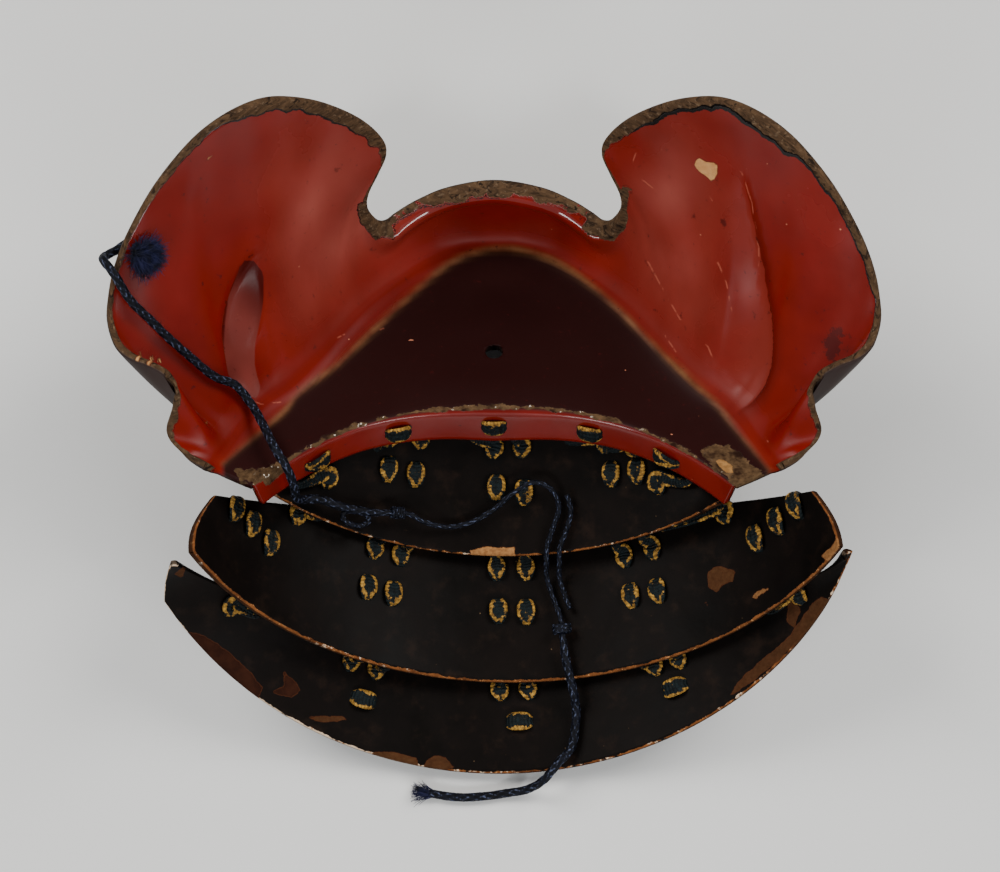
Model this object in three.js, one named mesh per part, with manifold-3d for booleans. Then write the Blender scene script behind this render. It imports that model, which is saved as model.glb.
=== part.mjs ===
// Samurai half mask for the chin and cheeks, with a laced throat guard of three lames.
// It lies as set down: the chin leans forward and the guard is folded back under it.
// Millimetres, +Z up, -Y towards the wearer's throat, +X to the right as seen from there.
import * as THREE from "three";
import { mergeVertices } from "three/addons/utils/BufferGeometryUtils.js";
import Module from "manifold-3d";

const wasm = await Module();
wasm.setup();

// Mask, in its own frame: x across, y towards the chin, z up the wearer's face
const HALF_WIDTH = 92.5;
const CHIN_REACH = 62.3;
const CHEEK_HEIGHT = 71;
const NECK_HALF = 58.6;
const NECK_REACH = 26;
const NECK_POWER = 2.7;
const HEM_DROP = 11;
const HEM_END = 8;
const FLOOR_DISH = 2;
const MASK_WALL = 2;
const MASK_LEAN = 30;
const FOLD_HEIGHT = 33.3;
const FOLD_BACK = 1.2;

// Guard lames
const GUARD_HALF = 90;
const GUARD_REACH = 86;
const GUARD_RISE = 21.8;
const LAME_WALL = 1.6;
const LAME_BELLY = 0.6;

// Lacing
const LACE_WIDTH = 2.8;
const LACE_THICK = 0.9;
const LACE_GAP = 0.6;
const LOOP_LENGTH = 6.2;
const LACE_CLEARANCE = 0.5;

// Small holes of the mask
const SWEAT_HOLE = 4.6;
const SWEAT_SHARE = 0.376;
const TIE_HOLE = 3.6;

// Tie cord and what is on it
const CORD = 2.2;
const CORD_GAP = 0.35;
const TUFT_HEAD = 5.4;
const TUFT_LOCK = 7.5;

// Knots and bindings: place along the route's points, length along the cord, wall, and how many
// times wider they are across the cord
const BINDINGS = [
  { name: "cord_eye", share: 0.425, length: 1.8, wall: 1, wide: 1.5 },
  { name: "cord_whipping", share: 0.4445, length: 4, wall: 0.8, wide: 1 },
  { name: "cord_knot", share: 0.735, length: 3, wall: 0.9, wide: 1.6 },
];

// Wall of the mask from the middle of the chin round to its back corner.
// x as a share of HALF_WIDTH, y of CHIN_REACH, z of CHEEK_HEIGHT
const WALL_COLUMNS = ["footX", "footY", "bellyX", "bellyY", "bellyZ", "topX", "topY", "topZ"];
const WALL = [
  [0, 1, 0, 1.007, 0.157, 0, 0.94, 0.338],
  [0.07, 0.994, 0.095, 0.997, 0.157, 0.128, 0.925, 0.314],
  [0.141, 0.958, 0.186, 0.955, 0.151, 0.212, 0.896, 0.275],
  [0.206, 0.888, 0.251, 0.896, 0.137, 0.265, 0.858, 0.249],
  [0.261, 0.809, 0.296, 0.843, 0.124, 0.299, 0.836, 0.228],
  [0.307, 0.728, 0.342, 0.799, 0.144, 0.33, 0.806, 0.255],
  [0.347, 0.649, 0.382, 0.754, 0.183, 0.354, 0.784, 0.334],
  [0.382, 0.567, 0.412, 0.709, 0.223, 0.349, 0.784, 0.415],
  [0.412, 0.485, 0.432, 0.687, 0.262, 0.32, 0.799, 0.5],
  [0.442, 0.4, 0.452, 0.649, 0.301, 0.296, 0.806, 0.585],
  [0.467, 0.325, 0.477, 0.604, 0.34, 0.307, 0.799, 0.656],
  [0.495, 0.251, 0.513, 0.552, 0.38, 0.352, 0.761, 0.757],
  [0.523, 0.179, 0.553, 0.5, 0.419, 0.421, 0.709, 0.853],
  [0.55, 0.119, 0.588, 0.44, 0.445, 0.496, 0.649, 0.932],
  [0.58, 0.069, 0.623, 0.381, 0.452, 0.581, 0.575, 0.99],
  [0.608, 0.034, 0.658, 0.328, 0.432, 0.658, 0.5, 1],
  [0.626, 0, 0.739, 0.224, 0.406, 0.737, 0.418, 0.974],
  [0.637, -0.03, 0.784, 0.142, 0.399, 0.809, 0.328, 0.92],
  [0.648, -0.06, 0.829, 0.067, 0.38, 0.884, 0.224, 0.83],
  [0.659, -0.09, 0.859, -0.007, 0.34, 0.949, 0.119, 0.713],
  [0.67, -0.119, 0.874, -0.067, 0.288, 0.989, 0.015, 0.596],
  [0.68, -0.146, 0.869, -0.112, 0.242, 1, -0.045, 0.513],
  [0.689, -0.172, 0.854, -0.142, 0.209, 0.982, -0.104, 0.438],
  [0.697, -0.191, 0.829, -0.164, 0.183, 0.946, -0.134, 0.391],
  [0.706, -0.212, 0.799, -0.187, 0.164, 0.89, -0.157, 0.365],
  [0.714, -0.233, 0.779, -0.209, 0.144, 0.848, -0.179, 0.334],
  [0.722, -0.254, 0.774, -0.231, 0.124, 0.834, -0.209, 0.283],
  [0.729, -0.275, 0.779, -0.254, 0.092, 0.844, -0.239, 0.208],
  [0.736, -0.294, 0.789, -0.279, 0.059, 0.864, -0.269, 0.122],
  [0.74, -0.31, 0.779, -0.303, 0.037, 0.834, -0.299, 0.067],
  [0.738, -0.328, 0.752, -0.325, 0.017, 0.764, -0.328, 0.031],
];
const NECK_TURN = 0.79;

// Lames from the throat down, each between an upper and a lower arc.
// side and radius are shares of GUARD_HALF, back of GUARD_REACH and up of GUARD_RISE. side, back
// and up place the arc's middle. In degrees, lean tips its ends forward, roll and yaw turn it as
// it lies, and left and right are where its ends come
const ARC_COLUMNS = ["side", "back", "up", "radius", "lean", "roll", "yaw", "left", "right"];
const LAMES = [
  {
    name: "lame_1",
    upper: [0, 0.0535, 1, 0.8878, -63.5, 0, 0, 45, 45],
    lower: [-0.0089, -0.364, 0.4817, 0.8333, 24, -1, -2, 49, 49],
  },
  {
    name: "lame_2",
    upper: [0.0222, -0.2267, 0.2752, 1.0111, -5, 0, 0, 55, 59],
    lower: [0.0444, -0.7372, 0.3303, 0.9278, 28, 1, 0, 67, 69],
  },
  {
    name: "lame_3",
    upper: [0.0333, -0.5872, 0.1376, 1.0611, 12, 0, 0, 56, 60],
    lower: [0.0889, -1, 0.1743, 1.0222, 50, -5, 3, 67, 67.5],
  },
].map(({ name, upper, lower }) => ({ name, upper: arc(upper), lower: arc(lower) }));

function arc(values) {
  const a = Object.fromEntries(ARC_COLUMNS.map((key, k) => [key, values[k]]));
  return {
    ...a,
    side: a.side * GUARD_HALF,
    back: a.back * GUARD_REACH,
    up: a.up * GUARD_RISE,
    radius: a.radius * GUARD_HALF,
  };
}

// Lace columns: where each passes the flange, as shares of NECK_HALF, and its holes in the lames.
// A hole is [u, v]: u from -1 at a lame's left end to 1, v from 0 at its lower rim to 1.
// Each lame row gives the left strand and then the right strand.
const LACES = [
  {
    name: "left",
    flange: -0.42,
    first: { tips: [[-0.43, 0.85], [-0.3, 0.8]], loops: [[-0.43, 0.6], [-0.315, 0.55]] },
    second: { tips: [[-0.377, 0.73], [-0.299, 0.7]], loops: [[-0.392, 0.486], [-0.318, 0.473]] },
    third: { tips: [[-0.43, 0.66], [-0.36, 0.64]], tie: [-0.392, 0.4] },
  },
  {
    name: "middle",
    flange: 0,
    first: { tips: [[0.0, 0.71], [0.115, 0.72]], loops: [[0.016, 0.46], [0.128, 0.43]] },
    second: { tips: [[-0.022, 0.645], [0.058, 0.645]], loops: [[-0.022, 0.417], [0.052, 0.411]] },
    third: { tips: [[-0.036, 0.57], [0.036, 0.57]], tie: [0.002, 0.36] },
  },
  {
    name: "right",
    flange: 0.42,
    first: { tips: [[0.46, 0.82], [0.585, 0.84]], loops: [[0.49, 0.59], [0.602, 0.64]] },
    second: { tips: [[0.328, 0.68], [0.41, 0.71]], loops: [[0.334, 0.45], [0.408, 0.45]] },
    third: { tips: [[0.36, 0.6], [0.425, 0.6]], tie: [0.395, 0.38] },
  },
];
// End laces: from the flange, past the end of the first lame, down the outside of the second.
// The knots are short rings in a slanting row beside them
const END_LACES = [
  {
    name: "left_end",
    side: -1,
    flange: -0.77,
    first: [-0.7, 0.5],
    second: [-0.63, 0.9],
    rim: -0.7,
    third: [-0.8, 0.75],
    knots: [[-0.71, 0.64], [-0.782, 0.765], [-0.85, 0.88]],
  },
  {
    name: "right_end",
    side: 1,
    flange: 0.75,
    first: [0.7, 0.5],
    second: [0.64, 0.9],
    rim: 0.7,
    third: [0.8, 0.7],
    knots: [[0.724, 0.65], [0.805, 0.75], [0.885, 0.86]],
  },
];

const DEG = Math.PI / 180;
const V = (x, y, z) => new THREE.Vector3(x, y, z);

// Closed mesh of a grid of points thickened along its normals
function thicken(grid, wall) {
  const n = grid.length;
  const m = grid[0].length;
  const at = (i, j) => grid[Math.min(Math.max(i, 0), n - 1)][Math.min(Math.max(j, 0), m - 1)];
  const faceNormal = (i, j) => {
    const a = at(i + 1, j + 1).clone().sub(at(i, j));
    const b = at(i, j + 1).clone().sub(at(i + 1, j));
    return b.cross(a).normalize();
  };
  const outer = grid.map((row, i) => row.map((p, j) => {
    const faces = [];
    for (const a of [i - 1, i]) {
      for (const b of [j - 1, j]) {
        if (a >= 0 && a < n - 1 && b >= 0 && b < m - 1) faces.push(faceNormal(a, b));
      }
    }
    const mean = V(0, 0, 0);
    faces.forEach((f) => mean.add(f));
    mean.normalize();
    const least = Math.min(...faces.map((f) => f.dot(mean)));
    return p.clone().addScaledVector(mean, wall / Math.max(least, 0.6));
  }));
  const position = [];
  grid.forEach((row) => row.forEach((p) => position.push(p.x, p.y, p.z)));
  outer.forEach((row) => row.forEach((p) => position.push(p.x, p.y, p.z)));
  const id = (side, i, j) => side * n * m + i * m + j;
  const index = [];
  const quad = (a, b, c, d) => index.push(a, b, c, a, c, d);
  for (let i = 0; i < n - 1; i++) {
    for (let j = 0; j < m - 1; j++) {
      quad(id(0, i, j), id(0, i, j + 1), id(0, i + 1, j + 1), id(0, i + 1, j));
      quad(id(1, i, j), id(1, i + 1, j), id(1, i + 1, j + 1), id(1, i, j + 1));
    }
  }
  for (let i = 0; i < n - 1; i++) {
    quad(id(0, i, 0), id(0, i + 1, 0), id(1, i + 1, 0), id(1, i, 0));
    quad(id(0, i, m - 1), id(1, i, m - 1), id(1, i + 1, m - 1), id(0, i + 1, m - 1));
  }
  for (let j = 0; j < m - 1; j++) {
    quad(id(0, 0, j), id(1, 0, j), id(1, 0, j + 1), id(0, 0, j + 1));
    quad(id(0, n - 1, j), id(0, n - 1, j + 1), id(1, n - 1, j + 1), id(1, n - 1, j));
  }
  return closedGeometry(position, index);
}

function closedGeometry(position, index) {
  const geometry = new THREE.BufferGeometry();
  geometry.setAttribute("position", new THREE.Float32BufferAttribute(position, 3));
  geometry.setIndex(index);
  if (solidOf(geometry).volume() < 0) {
    for (let i = 0; i < index.length; i += 3) {
      [index[i + 1], index[i + 2]] = [index[i + 2], index[i + 1]];
    }
    geometry.setIndex(index);
  }
  return geometry;
}

function solidOf(geometry) {
  return new wasm.Manifold(new wasm.Mesh({
    numProp: 3,
    vertProperties: new Float32Array(geometry.attributes.position.array),
    triVerts: new Uint32Array(geometry.index.array),
  }));
}

function geometryOf(solid) {
  const mesh = solid.getMesh();
  const geometry = new THREE.BufferGeometry();
  geometry.setAttribute("position", new THREE.BufferAttribute(mesh.vertProperties, 3));
  geometry.setIndex(new THREE.BufferAttribute(mesh.triVerts, 1));
  return geometry;
}

// Mask frame to the frame that it lies in
const lie = new THREE.Matrix4().makeRotationX(-MASK_LEAN * DEG);
lie.setPosition(0, FOLD_BACK, FOLD_HEIGHT);

// Edge of the neck opening, as a share from the middle to the back corner
function neckEdge(share) {
  const x = NECK_HALF * share;
  return V(x, -NECK_REACH * Math.abs(share) ** NECK_POWER, 0);
}

const rows = WALL.map((values) => Object.fromEntries(WALL_COLUMNS.map((key, k) => [key, values[k]])));

// The column where a lobe is highest, at which the neck edge has turned along the side
const lobeColumn = rows.findIndex((row) => row.topZ === 1);

function maskColumn(i, side) {
  const row = rows[i];
  const foot = V(row.footX * HALF_WIDTH, row.footY * CHIN_REACH, 0);
  const belly = V(row.bellyX * HALF_WIDTH, row.bellyY * CHIN_REACH, row.bellyZ * CHEEK_HEIGHT);
  const top = V(row.topX * HALF_WIDTH, row.topY * CHIN_REACH, row.topZ * CHEEK_HEIGHT);
  const last = rows.length - 1;
  const share = i <= lobeColumn
    ? (NECK_TURN * row.footX) / rows[lobeColumn].footX
    : NECK_TURN + ((1 - NECK_TURN) * (i - lobeColumn)) / (last - lobeColumn);
  const fold = neckEdge(share);
  const hem = V(fold.x * 0.97, fold.y + share, -(HEM_DROP + (HEM_END - HEM_DROP) * share));
  const column = [hem, fold];
  for (const v of [1 / 3, 2 / 3]) {
    const p = fold.clone().lerp(foot, v);
    p.z = -FLOOR_DISH * 4 * v * (1 - v) * (1 - share ** 2);
    column.push(p);
  }
  column.push(foot);
  for (const v of [0.25, 0.5, 0.75, 1]) {
    const p = V(0, 0, 0);
    p.addScaledVector(foot, 2 * (v - 0.5) * (v - 1));
    p.addScaledVector(belly, 4 * v * (1 - v));
    p.addScaledVector(top, 2 * v * (v - 0.5));
    column.push(p);
  }
  return column.map((p) => V(p.x * side, p.y, p.z).applyMatrix4(lie));
}

const maskGrid = [];
for (let i = rows.length - 1; i > 0; i--) maskGrid.push(maskColumn(i, -1));
for (let i = 0; i < rows.length; i++) maskGrid.push(maskColumn(i, 1));

// Lame surfaces
function arcPoint(arc, angle) {
  const lean = arc.lean * DEG;
  const rise = arc.radius * (1 - Math.cos(angle));
  const p = V(arc.radius * Math.sin(angle), rise * Math.sin(lean), rise * Math.cos(lean));
  p.applyAxisAngle(V(0, 1, 0), arc.roll * DEG);
  p.applyAxisAngle(V(0, 0, 1), arc.yaw * DEG);
  return p.add(V(arc.side, arc.back, arc.up));
}

function lamePoint(lame, u, v) {
  const angle = (arc) => (u < 0 ? u * arc.left : u * arc.right) * DEG;
  const p = arcPoint(lame.lower, angle(lame.lower)).lerp(arcPoint(lame.upper, angle(lame.upper)), v);
  return p;
}

function lameFrame(lame, u, v) {
  const e = 0.01;
  const point = lamePoint(lame, u, v);
  const across = lamePoint(lame, u + e, v).sub(lamePoint(lame, u - e, v)).normalize();
  const up = lamePoint(lame, u, v + e).sub(lamePoint(lame, u, v - e)).normalize();
  const out = up.clone().cross(across).normalize();
  return { point, across, along: out.clone().cross(across).normalize(), out };
}

const LAME_STEPS = 36;
const LAME_ROWS = 4;
function lameGrid(lame) {
  const grid = [];
  for (let i = 0; i <= LAME_STEPS; i++) {
    const u = (2 * i) / LAME_STEPS - 1;
    const column = [];
    for (let j = 0; j <= LAME_ROWS; j++) {
      const v = j / LAME_ROWS;
      const f = lameFrame(lame, u, v);
      column.push(f.point.addScaledVector(f.out, LAME_BELLY * 4 * v * (1 - v)));
    }
    grid.push(column);
  }
  return grid;
}

// Places on the sheets. along is a distance in mm down the sheet, off is from its inner face
// outwards, and both come back with the directions there
function onLame(lame, [u, v], along, aside, off) {
  const length = lamePoint(lame, u, 1).distanceTo(lamePoint(lame, u, 0));
  const span = lamePoint(lame, u + 0.05, v).distanceTo(lamePoint(lame, u - 0.05, v)) / 0.1;
  const vv = v - along / length;
  const f = lameFrame(lame, u + aside / span, vv);
  const inside = Math.min(Math.max(vv, 0), 1);
  f.point.addScaledVector(f.out, off + LAME_BELLY * 4 * inside * (1 - inside));
  return f;
}

function onFlange(share, drop, aside, off) {
  const s = share + aside / NECK_HALF;
  const hemDrop = HEM_DROP + (HEM_END - HEM_DROP) * Math.abs(s);
  const fold = neckEdge(Math.abs(s));
  const hem = V(fold.x * 0.97, fold.y + Math.abs(s), -hemDrop);
  fold.x *= Math.sign(s) || 1;
  hem.x *= Math.sign(s) || 1;
  const ahead = neckEdge(Math.abs(s) + 0.01).sub(neckEdge(Math.max(Math.abs(s) - 0.01, 0)));
  const across = V(ahead.x, ahead.y * (Math.sign(s) || 1), 0).normalize();
  const out = V(0, 0, 1).cross(across);
  const point = fold.lerp(hem, drop / hemDrop).addScaledVector(out, off);
  const turn = (d) => d.clone().transformDirection(lie);
  return {
    point: point.applyMatrix4(lie),
    across: turn(across),
    along: turn(V(0, 0, -1)),
    out: turn(out),
  };
}

const HALF_LOOP = LOOP_LENGTH / 2;
const HOLE_AT = HALF_LOOP - LACE_WIDTH / 4;
const TURN = LACE_WIDTH * 0.56;

const OUTSIDE_STEP = LACE_WIDTH * 0.82;
const INSIDE = -(LACE_GAP + LACE_THICK / 2);
const outsideOf = (wall) => wall + LACE_GAP + LACE_THICK / 2;

// Stations of a strand: a point and the direction out of the sheet there
const station = (f) => ({ point: f.point, out: f.out, across: f.across });

function tipStations(lame, hole) {
  return [
    station(onLame(lame, hole, -LACE_WIDTH * 0.8, 0, INSIDE)),
    station(onLame(lame, hole, -LACE_WIDTH * 0.15, 0, INSIDE)),
    station(onLame(lame, hole, LACE_WIDTH * 0.43, 0, LAME_WALL / 2)),
    station(onLame(lame, hole, LACE_WIDTH, 0, outsideOf(LAME_WALL))),
  ];
}

function loopStations(lame, hole) {
  const stations = [];
  stations.push(station(onLame(lame, hole, -HOLE_AT - TURN, 0, outsideOf(LAME_WALL))));
  stations.push(station(onLame(lame, hole, -HOLE_AT, 0, LAME_WALL / 2)));
  stations.push(station(onLame(lame, hole, -HOLE_AT + TURN, 0, INSIDE)));
  stations.push(station(onLame(lame, hole, HOLE_AT - TURN, 0, INSIDE)));
  stations.push(station(onLame(lame, hole, HOLE_AT, 0, LAME_WALL / 2)));
  stations.push(station(onLame(lame, hole, HOLE_AT + TURN, 0, outsideOf(LAME_WALL))));
  return stations;
}

// Where a strand passes the lower rim of the sheet above, outside it
const rimStation = (lame, u) => station(onLame(lame, [u, 0.03], 0, 0, outsideOf(LAME_WALL)));
const hemStation = (share, aside) =>
  station(onFlange(share, HEM_DROP + LACE_THICK, aside, MASK_WALL / 2 + LACE_GAP));

// Stations of half a level loop, from its middle outwards
function levelStations(place, wall, half) {
  return [
    station(place(half * 0.45, INSIDE)),
    station(place(half, wall / 2)),
    station(place(half + OUTSIDE_STEP * Math.sign(half), outsideOf(wall))),
  ];
}

// Rings of four corners of a flat strip swept along stations
function stripRings({ stations, closed, ring }, grow) {
  const curve = new THREE.CatmullRomCurve3(stations.map((s) => s.point), closed, "centripetal");
  const outs = new THREE.CatmullRomCurve3(stations.map((s) => s.out.clone()), closed, "catmullrom", 0.3);
  const count = closed ? stations.length : stations.length - 1;
  const rings = [];
  const total = closed ? count : count + 1;
  for (let k = 0; k < total; k++) {
    const t = k / count;
    const p = curve.getPoint(t);
    const tangent = curve.getTangent(t);
    const out = outs.getPoint(t);
    const flat = ring ? stations[k % stations.length].across.clone() : tangent.clone().cross(out);
    const side = flat.addScaledVector(tangent, -flat.dot(tangent)).normalize();
    const face = side.clone().cross(tangent).normalize();
    rings.push([[1, 1], [1, -1], [-1, -1], [-1, 1]].map(([a, b]) => p.clone()
      .addScaledVector(side, a * (LACE_WIDTH / 2 + grow))
      .addScaledVector(face, b * (LACE_THICK / 2 + grow))));
  }
  return rings;
}

function strip(lace) {
  const { closed } = lace;
  const rings = stripRings(lace, 0);
  const total = rings.length;
  const position = rings.flat().flatMap((p) => [p.x, p.y, p.z]);
  const index = [];
  const last = closed ? total : total - 1;
  for (let k = 0; k < last; k++) {
    const n = ((k + 1) % total) * 4;
    for (let c = 0; c < 4; c++) {
      const d = (c + 1) % 4;
      index.push(k * 4 + c, n + c, n + d, k * 4 + c, n + d, k * 4 + d);
    }
  }
  if (!closed) {
    const e = (total - 1) * 4;
    index.push(0, 1, 2, 0, 2, 3, e, e + 2, e + 1, e, e + 3, e + 2);
  }
  return closedGeometry(position, index);
}

const laces = {};
const FLANGE_LEVEL = HEM_DROP / 2;
for (const lace of LACES) {
  const strand = (k) => {
    const way = k === 0 ? -1 : 1;
    const [one, two, three] = LAMES;
    const onEdge = (x, off) => onFlange(lace.flange, FLANGE_LEVEL, x, off);
    const onLast = (x, off) => onLame(three, lace.third.tie, 0, x, off);
    return [
      ...levelStations(onEdge, MASK_WALL, way * HALF_LOOP),
      hemStation(lace.flange, way * (HALF_LOOP + OUTSIDE_STEP)),
      ...tipStations(one, lace.first.tips[k]),
      ...loopStations(one, lace.first.loops[k]),
      rimStation(one, lace.first.loops[k][0]),
      ...tipStations(two, lace.second.tips[k]),
      ...loopStations(two, lace.second.loops[k]),
      rimStation(two, lace.second.loops[k][0]),
      ...tipStations(three, lace.third.tips[k]),
      ...levelStations(onLast, LAME_WALL, way * HALF_LOOP).reverse(),
    ];
  };
  laces[`lace_${lace.name}`] = { stations: [...strand(1), ...strand(0).reverse()], closed: true };
}

const group = new THREE.Group();
const lacquer = (color, roughness) => new THREE.MeshStandardMaterial({ color, roughness, metalness: 0 });

for (const lace of END_LACES) {
  const [one, two, three] = LAMES;
  const level = (x, off) => onFlange(lace.flange, FLANGE_LEVEL, x, off);
  laces[`lace_${lace.name}`] = {
    stations: [
      ...levelStations(level, MASK_WALL, -lace.side * HALF_LOOP).reverse(),
      ...levelStations(level, MASK_WALL, lace.side * HALF_LOOP),
      hemStation(lace.flange, lace.side * (HALF_LOOP + OUTSIDE_STEP)),
      ...tipStations(one, lace.first),
      rimStation(one, lace.first[0]),
      ...tipStations(two, lace.second),
      station(onLame(two, [(lace.second[0] + lace.rim) / 2, 0.45], 0, 0, outsideOf(LAME_WALL))),
      rimStation(two, lace.rim),
      ...tipStations(three, lace.third),
    ],
    closed: false,
  };
  lace.knots.forEach((hole, k) => {
    const place = (along, off) => station(onLame(two, hole, along, 0, off));
    laces[`lace_knot_${lace.side < 0 ? "left" : "right"}_${k + 1}`] = {
      stations: [
        place(-HOLE_AT, LAME_WALL / 2),
        place(-HOLE_AT + LACE_WIDTH / 2, INSIDE),
        place(HOLE_AT - LACE_WIDTH / 2, INSIDE),
        place(HOLE_AT, LAME_WALL / 2),
        place(HOLE_AT - LACE_WIDTH / 2, outsideOf(LAME_WALL)),
        place(-HOLE_AT + LACE_WIDTH / 2, outsideOf(LAME_WALL)),
      ],
      closed: true,
      ring: true,
    };
  });
}

// Each sheet is pierced where a lace goes through it, with the lace's clearance: one short block
// for each step of the strip, split both ways across its corners.
// A crumb that the passages cut loose is left out
const BLOCK_SIDES = [
  [0, 4, 5, 0, 5, 1, 1, 5, 6, 1, 6, 2, 2, 6, 7, 2, 7, 3, 3, 7, 4, 3, 4, 0],
  [0, 4, 1, 4, 5, 1, 1, 5, 2, 5, 6, 2, 2, 6, 3, 6, 7, 3, 3, 7, 0, 7, 4, 0],
];
const BLOCK_ENDS = [0, 1, 2, 0, 2, 3, 4, 6, 5, 4, 7, 6];
const passages = Object.values(laces).flatMap((lace) => {
  const rings = stripRings(lace, LACE_CLEARANCE);
  const last = lace.closed ? rings.length : rings.length - 1;
  return rings.slice(0, last).flatMap((ring, k) => {
    const position = [...ring, ...rings[(k + 1) % rings.length]].flatMap((p) => [p.x, p.y, p.z]);
    return BLOCK_SIDES.map((sides) => solidOf(closedGeometry(position, [...sides, ...BLOCK_ENDS])));
  });
});
const SET_DOWN = V(0, 7.5, 0.4);
function pierced(geometry, cutters) {
  const cut = cutters.reduce((solid, cutter) => solid.subtract(cutter), solidOf(geometry));
  const largest = (solid) => solid.decompose().sort((one, other) => other.volume() - one.volume())[0];
  let set = geometryOf(largest(cut)).translate(SET_DOWN.x, SET_DOWN.y, SET_DOWN.z);
  for (let pass = 0; pass < 3; pass++) {
    set = geometryOf(largest(solidOf(mergeVertices(set.toNonIndexed(), 1e-3))));
  }
  return set;
}

// A round hole through a sheet
function holeCutter(point, out, diameter) {
  const drill = new THREE.CylinderGeometry(diameter / 2, diameter / 2, 6 * MASK_WALL, 12);
  drill.deleteAttribute("normal");
  drill.deleteAttribute("uv");
  const merged = mergeVertices(drill, 1e-4);
  merged.applyQuaternion(new THREE.Quaternion().setFromUnitVectors(V(0, 1, 0), out));
  merged.translate(point.x, point.y, point.z);
  return solidOf(merged);
}

const up = V(0, 0, 1).transformDirection(lie);
const sweatAt = V(0, SWEAT_SHARE * CHIN_REACH, -FLOOR_DISH).applyMatrix4(lie);
const sweatHole = holeCutter(sweatAt, up, SWEAT_HOLE);

// Hole of the tie cord in the left cheek, where the cord's route starts
const TIE_AT = V(-86.2, 39, 71.8);
const TIE_OUT = V(0.45, -0.53, 0.72).normalize();
const tieHole = holeCutter(TIE_AT.clone().sub(SET_DOWN), TIE_OUT, TIE_HOLE);

const RED = lacquer(0x6e160f, 0.35);
const BLACK = lacquer(0x1c1512, 0.45);
const LACE = lacquer(0x1b2430, 0.9);
const CORD_BLUE = lacquer(0x161b2c, 0.9);
function add(name, geometry, material) {
  const mesh = new THREE.Mesh(geometry, material);
  mesh.name = name;
  group.add(mesh);
}
add("mask_shell", pierced(thicken(maskGrid, MASK_WALL), [...passages, sweatHole, tieHole]), RED);
for (const lame of LAMES) add(lame.name, pierced(thicken(lameGrid(lame), LAME_WALL), passages), BLACK);
for (const [name, lace] of Object.entries(laces)) {
  add(name, strip(lace).translate(SET_DOWN.x, SET_DOWN.y, SET_DOWN.z), LACE);
}

// Route of the tie cord, from its tuft in the left cheek to its frayed end
const ROUTE = [
  [-86.0, 38.7, 72.2],
  [-86.9, 39.8, 70.7],
  [-88.3, 41.4, 68.5],
  [-91.6, 39.3, 68.3],
  [-94.0, 37.1, 70.0],
  [-93.6, 35.1, 73.0],
  [-91.3, 32.1, 72.6],
  [-87.8, 27.0, 67.5],
  [-83.5, 23.6, 62.2],
  [-79.2, 20.2, 57.3],
  [-74.7, 17.1, 52.5],
  [-69.1, 13.7, 46.5],
  [-64.5, 12.7, 42.7],
  [-60.5, 8.5, 38.9],
  [-57.0, 2.0, 41.9],
  [-53.6, -5.0, 46.0],
  [-51.0, -9.1, 45.8],
  [-49.6, -12.3, 40.4],
  [-49.2, -14.2, 33.6],
  [-48.0, -13.6, 30.0],
  [-43.9, -13.0, 27.6],
  [-37.8, -14.5, 24.9],
  [-31.1, -15.0, 21.6],
  [-21.8, -14.8, 18.8],
  [-18.2, -16.4, 17.6],
  [-12.3, -17.3, 15.0],
  [-6.2, -16.2, 14.9],
  [-0.3, -13.0, 15.7],
  [4.8, -9.4, 18.9],
  [10.2, -6.9, 20.4],
  [14.6, -8.5, 19.5],
  [16.6, -12.7, 17.7],
  [15.3, -17.1, 16.3],
  [13.5, -22.7, 14.6],
  [13.4, -26.1, 13.0],
  [13.5, -29.1, 9.8],
  [14.9, -33.8, 8.9],
  [16.9, -40.0, 10.4],
  [17.6, -46.0, 10.8],
  [18.3, -51.1, 10.9],
  [19.2, -55.0, 10.7],
  [20.2, -59.3, 9.9],
  [20.8, -62.2, 7.6],
  [20.8, -66.3, 7.1],
  [19.5, -73.0, 7.3],
  [16.2, -76.9, 8.0],
  [12.4, -81.1, 6.6],
  [8.4, -82.9, 3.0],
  [3.0, -83.7, 1.4],
  [-3.0, -84.5, 1.4],
  [-9.5, -84.7, 1.4],
  [-16.5, -83.7, 1.4],
].map((p) => V(...p));

// The cord bends back beside itself here
const DOUBLED = [
  [18.6, -9.8, 19.3],
  [19.6, -14.0, 18.0],
  [18.4, -18.6, 16.5],
  [16.8, -23.0, 15.2],
  [16.7, -26.4, 13.2],
  [16.8, -29.6, 10.0],
  [18.0, -33.6, 9.6],
  [19.4, -37.6, 9.9],
].map((p) => V(...p));

function round(diameter) {
  const shape = new THREE.Shape();
  for (let k = 0; k < 8; k++) {
    const a = ((k + 0.5) / 8) * 2 * Math.PI;
    const x = (Math.cos(a) * diameter) / 2;
    const y = (Math.sin(a) * diameter) / 2;
    if (k === 0) shape.moveTo(x, y);
    else shape.lineTo(x, y);
  }
  shape.closePath();
  return shape;
}

function tube(points, diameter, steps) {
  const curve = new THREE.CatmullRomCurve3(points, false, "centripetal");
  return new THREE.ExtrudeGeometry(round(diameter), { steps, extrudePath: curve });
}

// A piece turned so that its z axis runs along a direction
function aim(geometry, point, direction) {
  const toward = direction.clone().normalize();
  geometry.applyQuaternion(new THREE.Quaternion().setFromUnitVectors(V(0, 0, 1), toward));
  geometry.translate(point.x, point.y, point.z);
  return geometry;
}

function merged(geometry) {
  const bare = geometry.clone();
  bare.deleteAttribute("normal");
  bare.deleteAttribute("uv");
  return mergeVertices(bare, 1e-4);
}

add("tie_cord", tube(ROUTE, CORD, 76), CORD_BLUE);
add("cord_doubled", tube(DOUBLED, CORD * 0.7, 12), CORD_BLUE);

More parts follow.
